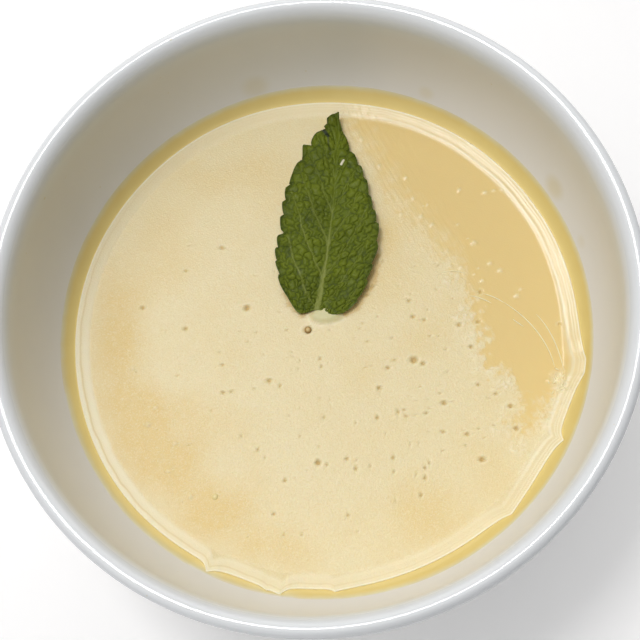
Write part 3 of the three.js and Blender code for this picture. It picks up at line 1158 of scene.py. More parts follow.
# Soft tan clouds in the pale skin.
TAN_CLOUDS = (
    Oval(-51.0, 0.0, 6.5, 17.0, 0.85),
    Oval(-45.5, -20.0, 6.0, 10.0, 0.8),
    Oval(-38.0, -32.0, 9.0, 8.5, 1.0),
    Oval(-25.0, -44.0, 9.5, 7.0, 1.0),
    Oval(-12.0, -52.0, 8.0, 5.0, 0.6),
    Oval(-33.0, -22.0, 9.0, 8.0, 0.4),
    Oval(25.0, -45.0, 12.0, 7.0, 0.55),
    Oval(-24.0, 42.0, 13.0, 6.0, 0.35),
    Oval(-40.0, 24.0, 8.0, 10.0, 0.3),
    Oval(14.0, 22.0, 9.0, 12.0, 0.6),
    Oval(24.0, -2.0, 8.0, 6.0, 0.35),
    Oval(42.0, -34.0, 6.0, 9.0, 0.3),
)

# How the grid is drawn in towards a pit or bead: breadth in radii, margin in mm, and strength.
GATHER_BREADTH, GATHER_MARGIN, GATHER_PULL = 1.5, 0.35, 0.6

# What the hidden underside gives as its distance in from the crest, so that no line shows there.
HIDDEN_INWARD = 2.0

# The lip's ridges: distance in from its crest, breadth and height.
RIDGES = (Line(0.25, 0.25, 0.05), Line(0.95, 0.25, 0.035), Line(1.55, 0.25, 0.03), Line(2.9, 0.5, 0.11))


@dataclass(frozen=True)
class Bubbles:
    """Form of the pits and beads. Distances are counted in their own radius."""

    pit_depth: float = 1.0
    pit_wall: Range = (1.05, 0.35)
    pit_rim: Line = Line(1.35, 0.3, 0.12)
    pit_shade: Range = (0.95, 0.3)
    shade_by_radius: Range = (0.3, 0.7)
    most_shade: float = 0.85
    pit_glint: Line = Line(1.35, 0.35, 0.45)
    bead_height: float = 0.45
    bead_foot: Range = (1.5, 0.1)
    bead_light: float = 0.5
    bead_edge: Range = (1.5, 0.5)


@dataclass(frozen=True)
class SmallBubbles:
    """Pits or beads that are drawn at random: how many, about where, how large and how far out."""

    count: int
    middle: Place
    spread: Place
    radius: Range
    reach: float = 54


@dataclass
class SetCream:
    """The set cream: a flat grainy middle, and a lip that climbs towards the wall in ridges."""

    bowl: Bowl
    surface: float = 28.4
    swell: float = 0.12
    lip_radius: float = 61.9
    lip_height: float = 29.05
    lip_width: float = 3.6
    lip_spread: Bell = Bell(18, 50, 0.3)
    lip_slope: float = 1.5
    lip_foot_slope: float = 1.3
    lip_climb: float = 0.8
    cusp_climb: float = 0.5
    cusp_reach: Range = (1.6, 2.6)
    cusp_clearance: float = 0.05
    foot_reach: float = 0.3
    lip_ripples: tuple[Ripple, Ripple] = (Ripple(0.12, 3, 1.1), Ripple(0.08, 7, 0.4))

    # Its grid, its rounded edge and its hidden side.
    ledge: float = 27.3
    gap: float = 0.3
    shells: int = 114
    lip_steps: int = 38
    lip_crowding: float = 0.8
    edge_round: Place = (0.20, 0.32)
    edge_clearance: float = 0.03
    side_inset: float = 0.4
    side_steps: int = 6

    # Bubbles, the mound at the leaf's foot, the crumple at the right-hand cusp, and the lip's ridges.
    bubbles: Bubbles = Bubbles()
    small_pits: SmallBubbles = SmallBubbles(110, (14, -14), (26, 24), (0.18, 0.34))
    small_beads: SmallBubbles = SmallBubbles(30, (30, 18), (14, 16), (0.15, 0.3))
    bubble_seed: int = 11
    mound: Oval = Oval(0.9, 4.7, 4.9, 2.5)
    mound_edge: Uneven = Uneven(0.07, 3, seed=8)
    mound_height: float = 0.8
    crumple: Oval = Oval(57.3, -12.3, 3.2, 3.6)
    crumples: Uneven = Uneven(0.32, 1.6, seed=21)
    relief_from: Range = (1.2, 3.5)
    ridge_bells: tuple[Bell, Bell] = (Bell(20, 62), Bell(250, 60, 0.12))
    ridge_least: float = 0.08
    ridge_beat: tuple[Ripple, Ripple] = (Ripple(0.3, 7, 2), Ripple(1, 3))
    ridge_wander: tuple[Ripple, Ripple] = (Ripple(0.14, 9), Ripple(0.10, 23, 1))
    bead_line: Range = (0.45, 0.15)
    bead_line_height: float = 0.04

    # What the colours follow.
    melting_from: Range = (2, 30)
    skin_waves: tuple[Uneven, Uneven] = (Uneven(1.1, 6, seed=5), Uneven(0.7, 2.4, seed=6))
    skin_softness: float = 0.85
    melted_softness: float = 4.0
    soft_place: Oval = Oval(50, -22, 6.5, 6.5, 3.5)
    froth: Line = Line(2.0, 2.6, 0.42)
    froth_waves: Uneven = Uneven(0.5, 8, seed=7)
    tan_waves: Uneven = Uneven(0.15, 12, seed=9)
    tan_haze: Uneven = Uneven(0.10, 20, seed=14)
    most_tan: float = 0.82
    streak_breadth: float = 1.6
    streaks_from: Range = (-4, 12)
    # The leaf's painted shadow: its edge, its strength and its waver.
    leaf_shadow_edge: Range = (-0.5, 0.15)
    leaf_shadow_share: float = 0.85
    leaf_shadow_waves: Uneven = Uneven(0.25, 2.5, seed=15)
    # Where the lip's painted highlights and shade line on the left are strongest.
    left_bells: tuple[Bell, Bell] = (Bell(200, 40), Bell(262, 35, 0.3))

    def reach(self, angle: Array) -> Array:
        """How far the lip reaches out: each cusp falls off as exp(-turn / breadth).

        Args:
            angle: Bearing.

        Returns:
            The reach past the lip's usual radius.
        """
        total = sum(ripple.at(angle) for ripple in self.lip_ripples)
        for cusp in CUSPS:
            turn = turned_from(angle, cusp.bearing)
            breadth = np.where(turn > 0, cusp.leftward, cusp.rightward) * DEGREE
            total = total + cusp.reach * np.exp(-np.abs(turn) / breadth)
        return total

    def crest(self, angle: Array) -> tuple[Array, Array]:
        """The lip's crest: it rises as it reaches out, up to the wall.

        Args:
            angle: Bearing.

        Returns:
            Radius and height.
        """
        reach = self.reach(angle)
        climb = self.lip_climb * np.clip(reach, 0, 1)
        z = self.lip_height + climb + self.cusp_climb * smooth_step(*self.cusp_reach, reach)
        at_wall = self.bowl.inside.radius_at(z) - self.cusp_clearance
        return np.minimum(self.lip_radius + reach, at_wall), z

    def foot(self, angle: Array) -> Array:
        """Radius of the lip's foot: the lip is broadest on the right, where it clung last."""
        breadth = self.lip_width + self.lip_spread.at(angle)
        return self.lip_radius + self.foot_reach * self.reach(angle) - breadth

    def climb(self, share: Array) -> Array:
        """Share of its height that the lip has reached at a share of its breadth.

        Args:
            share: Share of the lip's breadth, from its foot.

        Returns:
            1 - (1 - share^a)^b, with a the slope at its foot and b the slope at its crest.
        """
        return 1 - (1 - share ** self.lip_foot_slope) ** self.lip_slope

    def level(self, r: Array, angle: Array) -> Array:
        """Height of the flat middle, with its slow swell."""
        return self.surface + self.swell * np.sin(2 * angle) * (r / self.lip_radius) ** 2

    def disc(self) -> tuple[Array, Array, Array]:
        """A square grid bent into a unit disc: the outermost ring of squares becomes a circle.

        Returns:
            Distance from the middle and bearing of each point, and the point numbers round
            the edge, starting at bearing 0.
        """
        n = self.shells
        u, v = np.meshgrid(np.arange(-n, n + 1) / n, np.arange(-n, n + 1) / n)
        wide = np.abs(u) > np.abs(v)
        rho = np.where(wide, u, v)
        safe = np.where(rho == 0, 1, rho)
        bearing = np.where(wide, (math.pi / 4) * v / safe, math.pi / 2 - (math.pi / 4) * u / safe)
        x, y = rho * np.cos(bearing), rho * np.sin(bearing)
        size = 2 * n + 1
        number = np.arange(size * size).reshape(size, size)
        right, top = number[n:, -1], number[-1, ::-1][1:]
        left, bottom = number[::-1, 0][1:], number[0, :][1:]
        edge = np.concatenate((right, top, left, bottom, number[1:n, -1]))
        return np.hypot(x, y).ravel(), np.arctan2(y, x).ravel(), edge

    def dimples(self) -> tuple[list[Dimple], list[Dimple]]:
        """The pits and beads that are listed, with the small ones drawn between them.

        Returns:
            Pits and beads.
        """
        draw = np.random.default_rng(self.bubble_seed)
        pits, beads = list(PITS), list(BEADS)
        small = self.small_pits
        while len(pits) < len(PITS) + small.count:
            x, y = draw.normal(small.middle, small.spread)
            in_skin = region_depth(np.array([x]), np.array([y]), BARE)[0] < -1
            if math.hypot(x, y) < small.reach and in_skin:
                pits.append(Dimple(x, y, draw.uniform(*small.radius)))
        small = self.small_beads
        while len(beads) < len(BEADS) + small.count:
            x, y = draw.normal(small.middle, small.spread)
            if math.hypot(x, y) < small.reach:
                beads.append(Dimple(x, y, draw.uniform(*small.radius)))
        return pits, beads

    def gather(self, x: Array, y: Array, dimples: list[Dimple]) -> tuple[Array, Array]:
        """Draws the grid in towards each pit and bead, so that it has points enough for them.

        Args:
            x: Places across.
            y: Places along.
            dimples: What the grid is drawn to.

        Returns:
            The new places: p moves by -pull (p - c) exp(-(|p - c| / breadth)^2) towards each c.
        """
        move_x, move_y = np.zeros_like(x), np.zeros_like(y)
        for d in dimples:
            breadth = GATHER_BREADTH * d.radius + GATHER_MARGIN
            dx, dy = x - d.x, y - d.y
            pull = GATHER_PULL * np.exp(-(dx * dx + dy * dy) / breadth ** 2)
            move_x -= pull * dx
            move_y -= pull * dy
        return x + move_x, y + move_y

    def relief(self, x: Array, y: Array, pits: list[Dimple],
               beads: list[Dimple]) -> dict[str, Array]:
        """Height of the pits, beads, mound and crumple, with the shares that colour them: painted shade in
        the pits and painted glints among them.

        Args:
            x: Places across.
            y: Places along.
            pits: Burst bubbles.
            beads: Raised beads.

        Returns:
            rise in millimetres, and from 0 to 1 the pits' painted shade, the beads with the painted glints,
            and mound.
        """
        form = self.bubbles
        rise, pit, bead_and_glint = np.zeros_like(x), np.zeros_like(x), np.zeros_like(x)
        for d in pits:
            away = np.hypot(x - d.x, y - d.y) / d.radius
            rise -= form.pit_depth * d.radius * smooth_step(*form.pit_wall, away)
            rise += form.pit_rim.share * d.radius * hump(away, form.pit_rim.middle, form.pit_rim.breadth)
            # Painted shade in each pit, and a painted glint round its rim.
            shade = min(form.most_shade, form.shade_by_radius[0] + form.shade_by_radius[1] * d.radius)
            pit = np.maximum(pit, smooth_step(*form.pit_shade, away) * shade)
            glint = form.pit_glint.share * hump(away, form.pit_glint.middle, form.pit_glint.breadth)
            bead_and_glint = np.maximum(bead_and_glint, glint)
        for d in beads:
            away = np.hypot(x - d.x, y - d.y) / d.radius
            rise += form.bead_height * d.radius * smooth_step(*form.bead_foot, away)
            # Each bead is painted pale: partly its own foam, partly a painted highlight.
            bead_and_glint = np.maximum(bead_and_glint, form.bead_light * smooth_step(*form.bead_edge, away))
        from_mound = self.mound.away(x, y) + self.mound_edge.at(x, y)
        mound = smooth_step(1.0, 0.5, from_mound)
        crumple = smooth_step(1.0, 0.3, self.crumple.away(x, y))
        rise += self.mound_height * mound + crumple * self.crumples.at(x, y)
        # Painted highlights: a crescent along the mound's lower edge, and on the crumple.
        mound_edge = hump(from_mound, 1.0, 0.13) * smooth_step(5, 3, y)
        bead_and_glint = np.maximum(bead_and_glint, np.maximum(mound_edge, 0.5 * crumple))
        return {"rise": rise, "pit": pit, "bead_and_glint": bead_and_glint, "mound": 0.75 * mound}

    def ridges(self, inward: Array, angle: Array) -> tuple[Array, Array]:
        """Height of the lip's ridges at a distance in from its crest.

        Args:
            inward: Distance in from the crest.
            angle: Bearing.

        Returns:
            The height, and how strong the lip's lines are at that bearing.
        """
        # They are strongest on the right and nearly gone at the left.
        bells = np.clip(sum(bell.at(angle) for bell in self.ridge_bells), 0, 1)
        strength = self.ridge_least + (1 - self.ridge_least) * bells
        beat = self.ridge_beat[0].at(angle) * self.ridge_beat[1].at(angle)
        strength = strength * (1 - self.ridge_beat[0].depth / 2 + beat)
        wander = sum(ripple.at(angle) for ripple in self.ridge_wander)
        height = self.bead_line_height * smooth_step(*self.bead_line, inward)
        for ridge in RIDGES:
            height = height + ridge.share * strength * hump(inward, ridge.middle + wander, ridge.breadth)
        return height, strength

    def build(self) -> Piece:
        """Makes the cream: the disc, the lip's rings, its edge, and the hidden side and bottom.

        Returns:
            The cream.
        """
        pits, beads = self.dimples()
        rho, angle, edge = self.disc()
        # Near the lip the grid follows the lip's foot, and further in it is round.
        flat = self.lip_radius - self.lip_width
        r = rho * (flat + (self.foot(angle) - flat) * rho ** 6)
        x, y = self.gather(r * np.cos(angle), r * np.sin(angle), pits + beads)
        z = self.level(np.hypot(x, y), np.arctan2(y, x))
        top = np.stack((x, y, z), axis=-1)

        around = angle[edge]
        share = (np.arange(1, self.lip_steps + 1) / self.lip_steps)[:, None] ** self.lip_crowding
        edge_r, edge_z = self.crest(around)
        base = self.foot(around)
        ring_r = base + share * (edge_r - base)
        ring_z = self.level(base, around) + (edge_z - self.level(base, around)) * self.climb(share)
        below_r, below_z = self.underside(edge_r, edge_z, around)
        ring_r, ring_z = np.concatenate((ring_r, below_r)), np.concatenate((ring_z, below_z))
        rings = np.stack((ring_r * np.cos(around), ring_r * np.sin(around), ring_z), axis=-1).reshape(-1, 3)
        points = np.concatenate((top, rings, [[0, 0, self.bowl.inside_floor + self.gap]]))
        shown = np.zeros(len(points))
        shown[:len(points) - 1 - len(below_r) * len(around)] = 1

        relief = self.relief(points[:, 0], points[:, 1], pits, beads)
        bearing = np.arctan2(points[:, 1], points[:, 0])
        inward = self.crest(bearing)[0] - np.hypot(points[:, 0], points[:, 1])
        ridge, strength = self.ridges(inward, bearing)
        points[:, 2] += (relief["rise"] * smooth_step(*self.relief_from, inward) + ridge) * shown
        inward = np.where(shown > 0, inward, HIDDEN_INWARD)

        size = 2 * self.shells + 1
        loop = np.concatenate((edge, np.arange(len(top), len(top) + len(rings))))
        bands = quads(1 + len(ring_r), len(edge), closed=True)
        underside = fan(loop[-len(edge):], len(points) - 1)[:, ::-1]
        values = {"inward": inward, "lines": strength, **self.colours(points, relief)}
        surface = Surface(points, [quads(size, size), loop[bands][:, ::-1], underside], values)
        piece = surface.piece("cream_with_lip", CreamFinish().material())
        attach(piece, "root")
        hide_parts("panna_cotta")
        return piece

    def underside(self, edge_r: Array, edge_z: Array,
                  around: Array) -> tuple[Array, Array]:
        """Radius and height of the rings from the crest, down the wall and in to the bottom.

        Args:
            edge_r: Radius of the crest.
            edge_z: Height of the crest.
            around: Bearings.

        Returns:
            Radii and heights, a row for each ring.
        """
        rounding = np.linspace(0, math.pi / 2, 5)[1:, None]
        turn_z = edge_z - self.edge_round[1] * (1 - np.cos(rounding))
        at_wall = self.bowl.inside.radius_at(turn_z) - self.edge_clearance
        turn_r = np.minimum(edge_r + self.edge_round[0] * np.sin(rounding), at_wall)
        drop_r = (np.minimum(edge_r, self.lip_radius) - self.side_inset)[None, :]
        drop_z = np.full((1, len(around)), self.ledge + self.gap)
        wall = self.bowl.inside.points(self.ledge, self.bowl.inside_floor, self.side_steps)[:-1]
        wall_r = np.broadcast_to((wall[:, 0] - self.gap)[:, None], (len(wall), len(around)))
        wall_z = np.broadcast_to((wall[:, 1] + self.gap / 2)[:, None], (len(wall), len(around)))
        return np.concatenate((turn_r, drop_r, wall_r)), np.concatenate((turn_z, drop_z, wall_z))

    def colours(self, points: Array, relief: dict[str, Array]) -> dict[str, Array]:
        """The values that the cream's material reads.

        Args:
            points: The cream's points.
            relief: Its pits and beads.

        Returns:
            The skin's share (with its painted reflection), ragged, tan, streaked, froth, the left band of
            painted lines, the leaf's painted shadow, the pits' painted shade, the beads with their painted
            glints, and mound, by name.
        """
        x, y = points[:, 0], points[:, 1]
        # The skin's edge is sharp and frothy at the lower right, and melts away towards the top. Its
        # paleness is partly a painted reflection of the overhead light.
        melting = smooth_step(*self.melting_from, y)
        beyond = -region_depth(x, y, BARE) + sum(wave.at(x, y) for wave in self.skin_waves)
        soft = self.soft_place.share * hump(self.soft_place.away(x, y), 0, 1)
        skin_and_sheen = beyond / (self.skin_softness + self.melted_softness * melting + soft)
        froth = self.froth.share * hump(beyond, self.froth.middle, self.froth.breadth)
        froth = froth * (1 - 0.85 * melting) * (0.75 + self.froth_waves.at(x, y))
        tan = sum(cloud.share * hump(cloud.away(x, y), 0, 1) for cloud in TAN_CLOUDS)
        tan = np.clip(tan * (1 + self.tan_waves.at(x, y)) + self.tan_haze.at(x, y), 0, self.most_tan)
        streaked = hump(skin_and_sheen, 0, self.streak_breadth) * smooth_step(*self.streaks_from, y)
        # Painted shadow of the leaf, under and beside its lower margin.
        in_leaf_shadow = region_depth(x, y, LEAF_SHADOW) + self.leaf_shadow_waves.at(x, y)
        bearing = np.arctan2(y, x)
        return {
            "skin_and_sheen": skin_and_sheen,
            "ragged": 1 - 0.75 * melting,
            "tan": tan,
            "streaked": streaked,
            "froth": np.clip(froth, 0, 1),
            "left_painted_lines": np.clip(sum(bell.at(bearing) for bell in self.left_bells), 0, 1),
            "painted_leaf_shadow": self.leaf_shadow_share * smooth_step(*self.leaf_shadow_edge, in_leaf_shadow),
            "pit": relief["pit"],
            "bead_and_glint": relief["bead_and_glint"],
            "mound": relief["mound"],
        }


@dataclass
class SurfaceTraces:
    """What lies on the cream: raised threads, flakes at the right-hand cusp, a bubble and a drop."""

    cream: SetCream
    radius: float = 0.15
    sides: int = 6
    step: float = 0.25
    routes: tuple[tuple[Place, ...], ...] = (
        ((44.4, 7.5), (50.1, 2.6), (53.8, -2.0), (54.9, -4.8), (56.4, -9.3)),
        ((52.3, 4.3), (55.3, 0.0), (56.4, -2.3), (57.1, -4.3), (58.6, -10.1)),
        ((46.6, 3.1), (48.0, 2.0), (49.3, 1.1)),
        ((36.4, 9.2), (39.2, 8.4), (41.7, 7.1)),
        ((39.8, 9.6), (42.4, 8.6), (44.7, 7.2)),
        ((28.2, 14.6), (31.4, 15.6), (35.2, 15.0)),
        ((64.6, -6.6), (65.4, -6.8), (66.1, -7.1)),
    )
    flakes: int = 24
    flake_middle: Place = (57.2, -12.6)
    flake_spread: Place = (1.1, 1.7)
    flake_heading: Range = (1.2, 0.7)
    flake_half: Range = (0.3, 1.1)
    flake_points: int = 7
    flake_seed: int = 31
    end_roundness: float = 0.4
    rise: float = 0.03
    bubble: Dimple = Dimple(-3.5, 0.9, 0.85)
    bubble_height: float = 0.55
    syrup: Dimple = Dimple(-25.3, -40.4, 0.75)
    syrup_height: float = 0.3
    dome_steps: int = 12
    dome_turns: int = 40
    dome_skirt: Place = (0.9, 0.35)
    dome_sunk: float = 0.4
    syrup_depth: float = 1.5

    def route(self, corners: tuple[Place, ...]) -> Array:
        """Even steps along a smooth line, a cubic in chord length.

        Args:
            corners: Places that the line passes by.

        Returns:
            Places along it.
        """
        knots = np.array(corners)
        chord = np.concatenate(([0], np.cumsum(np.hypot(*np.diff(knots, axis=0).T))))
        t = np.linspace(0, chord[-1], int(chord[-1] / self.step))
        degree = min(3, len(knots) - 1)
        return np.stack([np.polyval(np.polyfit(chord, knots[:, k], degree), t) for k in (0, 1)], axis=-1)

    def flake_routes(self) -> list[Array]:
        """Short straight threads that lie every way round the right-hand cusp.

        Returns:
            Places along each of them.
        """
        draw = np.random.default_rng(self.flake_seed)
        along = np.linspace(-1, 1, self.flake_points)[:, None]
        routes = []
        for _ in range(self.flakes):
            middle = np.array(self.flake_middle) + draw.normal(0, self.flake_spread)
            heading = draw.normal(*self.flake_heading)
            half = draw.uniform(*self.flake_half) * np.array((math.cos(heading), math.sin(heading)))
            routes.append(middle + along * half)
        return routes

    def ground(self, x: Array, y: Array) -> Array:
        """Height of the cream, or of the lip's slope, without its small relief.

        Args:
            x: Places across.
            y: Places along.

        Returns:
            The heights.
        """
        r, angle = np.hypot(x, y), np.arctan2(y, x)
        foot, (crest_r, crest_z) = self.cream.foot(angle), self.cream.crest(angle)
        share = np.clip((r - foot) / (crest_r - foot), 0, 1)
        level = self.cream.level(np.minimum(r, foot), angle)
        ridge = self.cream.ridges(crest_r - r, angle)[0]
        return level + (crest_z - level) * self.cream.climb(share) + np.where(r < crest_r, ridge, 0)

    def tube(self, line: Array) -> tuple[Array, list[Array]]:
        """A thread along a line on the cream: rings of points that shrink to a point at each end.

        Args:
            line: Places along it.

        Returns:
            Points, and faces numbered from 0.
        """
        along = np.gradient(line, axis=0)
        along /= np.linalg.norm(along, axis=1, keepdims=True)
        beside = np.stack((-along[:, 1], along[:, 0]), axis=-1)
        share = np.linspace(0, 1, len(line))
        radius = (self.radius * np.sin(math.pi * share) ** self.end_roundness)[1:-1, None]
        turn = np.arange(self.sides) * TURN / self.sides
        z = self.ground(line[:, 0], line[:, 1]) + self.rise
        middle = line[1:-1, None, :] + beside[1:-1, None, :] * (radius * np.cos(turn))[..., None]
        level = z[1:-1, None] + radius * np.sin(turn)
        rings = np.concatenate((middle, level[..., None]), axis=-1).reshape(-1, 3)
        ends = np.array([(*line[0], z[0]), (*line[-1], z[-1])])
        count = len(line) - 2
        body = quads(count, self.sides, closed=True)
        first = fan(np.arange(self.sides), len(rings))[:, ::-1]
        last = fan(np.arange(self.sides) + (count - 1) * self.sides, len(rings) + 1)
        return np.concatenate((rings, ends)), [body, first, last]

    def threads(self) -> Piece:
        """Makes every thread and flake, joined into one piece.

        Returns:
            The threads.
        """
        points, faces, start = [], [], 0
        for line in [self.route(corners) for corners in self.routes] + self.flake_routes():
            tube_points, tube_faces = self.tube(line)
            points.append(tube_points)
            faces += [part + start for part in tube_faces]
            start += len(tube_points)
        piece = Surface(np.concatenate(points), faces).piece("raised_threads", ThreadFinish().material())
        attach(piece, "root")
        return piece

    def dome(self, name: str, foot: Dimple, height: float, material: Material) -> Piece:
        """A wet dome that stands on the cream: z = h sqrt(1 - (r / R)^2), with a short skirt below.

        Args:
            name: Name of the piece.
            foot: Its place, and the radius R of its foot.
            height: Height h of its top.
            material: Its finish.

        Returns:
            The dome.
        """
        turn = np.linspace(0, math.pi / 2, self.dome_steps)
        base = self.ground(np.array(foot.x), np.array(foot.y))
        upper = np.stack((foot.radius * np.sin(turn), base + height * np.cos(turn)), axis=-1)
        narrowing, drop = self.dome_skirt
        skirt = np.array([(narrowing * foot.radius, base - drop), (0, base - self.dome_sunk)])
        surface = lathe(np.concatenate((upper, skirt))[::-1], self.dome_turns)
        away = np.hypot(surface.points[:, 0], surface.points[:, 1])
        surface.values = {"edge": away / foot.radius, "depth": np.full(len(away), self.syrup_depth)}
        surface.points[:, :2] += (foot.x, foot.y)
        piece = surface.piece(name, material)
        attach(piece, "root")
        return piece

    def build(self) -> list[Piece]:
        """Makes the unburst bubble, the drop of syrup and the threads.

        Returns:
            The pieces.
        """
        film, syrup = BubbleFinish().material(), SyrupFinish().material()
        return [
            self.dome("unburst_bubble", self.bubble, self.bubble_height, film),
            self.dome("syrup_drop", self.syrup, self.syrup_height, syrup),
            self.threads(),
        ]


# ---------------------------------------------------------------- syrup


@dataclass
class SyrupRing:
    """The yellow syrup between lip and wall: a hollow meniscus that feathers out on the glaze."""

    bowl: Bowl
    cream: SetCream
    bottom: float = 27.9
    top: float = 32.3
    drop: float = 0.2
    overlap: float = 0.06
    tilt: Place = (0.55, 0.55)
    sway: Place = (0.25, -0.20)
    ripple: Ripple = Ripple(0.06, 5)
    swelling: Bell = Bell(332, 18, 0.45)
    hollow: float = 1.7
    least_rise: float = 0.15
    under_lip: float = 0.05
    film_inset: float = 0.10
    back_start: float = 0.12
    inner_inset: float = 0.7
    turns: int = 720
    steps: int = 16
    back_steps: int = 8

    def line(self, angle: Array) -> Array:
        """Height of the syrup's line on the wall: highest on the right, lowest in front.

        Args:
            angle: Bearing.

        Returns:
            The heights.
        """
        tilt = self.tilt[0] * np.cos(angle) + self.tilt[1] * np.sin(angle)
        sway = self.sway[0] * np.cos(2 * angle) + self.sway[1] * np.sin(2 * angle)
        return self.top + tilt + sway + self.ripple.at(angle) + self.swelling.at(angle)

    def build(self) -> Piece:
        """Makes the ring: its top is z0 + (z1 - z0) share^hollow, its back lies just inside the wall.

        Returns:
            The ring.
        """
        angle = (np.arange(self.turns) * TURN / self.turns)[None, :]
        crest_r, crest_z = self.cream.crest(angle)
        top = self.line(angle)
        share = np.linspace(0, 1, self.steps)[:, None]
        wall = self.bowl.inside
        inner = crest_r - self.under_lip
        z = crest_z - self.drop
        z = z + np.maximum(top - z, self.least_rise) * share ** self.hollow
        r = inner + (wall.radius_at(top) + self.overlap - inner) * share
        # Where the lip's cusps nearly touch the wall, the film stays inside it up to its last step.
        film = wall.radius_at(z) - self.film_inset + (self.film_inset + self.overlap) * share ** 6
        r = np.minimum(r, film)
        back_z = top + (self.bottom - top) * np.linspace(self.back_start, 1, self.back_steps)[:, None]
        back_r = wall.radius_at(back_z) + self.overlap
        inner_r = np.minimum(crest_r, self.cream.lip_radius) - self.inner_inset
        r = np.concatenate((r, back_r, inner_r))
        z = np.concatenate((z, back_z, np.full_like(inner_r, self.bottom)))
        points = np.stack((r * np.cos(angle), r * np.sin(angle), z), axis=-1).reshape(-1, 3)
        rows = len(r)
        faces = quads(rows, self.turns, closed=True)[:, ::-1]
        last = np.arange(self.turns) + (rows - 1) * self.turns
        first = np.arange(self.turns)
        seam = np.stack((last, np.roll(last, -1), np.roll(first, -1), first), axis=-1)[:, ::-1]
        surface = Surface(points, [faces, seam], {"depth": (top - z).ravel()})
        piece = surface.piece("syrup_meniscus", SyrupFinish().material())
        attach(piece, "root")
        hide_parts("yellow_syrup_ring")
        return piece


# ---------------------------------------------------------------- mint leaf


@dataclass(frozen=True)
class HalfBlade:
    """Half of the leaf's outline: its breadth is (base + swell s)(1 - s)^taper, less the teeth.

    Marks are bumps and nicks of that breadth along the length, and salt picks its own teeth.
    """

    base: float
    swell: float
    taper: float
    lift: float
    salt: float
    marks: tuple[Line, ...] = ()
    flap: float = 0
    flap_nick: Line = Line(0.926, 0.008, 0)


# The left margin has a nick below its middle, one long tooth near the tip, and a blunt flap
# where the tip is folded over.
LEFT_HALF = HalfBlade(
    5.4, 42, 0.9, lift=0.9, salt=3.0,
    marks=(Line(0.395, 0.012, -1.1), Line(0.13, 0.07, 0.8), Line(0.54, 0.17, -1.3),
           Line(0.81, 0.01, 0.3), Line(0.832, 0.012, -1.1)),
    flap=2.7,
    flap_nick=Line(0.926, 0.008, -0.8),
)
RIGHT_HALF = HalfBlade(8.4, 43, 1.45, lift=1.6, salt=7.0)

# Painted shade in the fold beside the tip, a dark patch near the left margin, and a pale slit on the right.
FOLD = (Stroke((-0.6, 53.9), (1.1, 51.6), 0.62), Stroke((1.1, 51.6), (1.4, 48.0), 0.35, 0.6))
DARK_PATCH = Oval(-8.4, 21.5, 1.6, 2.4)
SLIT = Stroke((4.5, 43.9), (5.1, 44.9), 0.34)


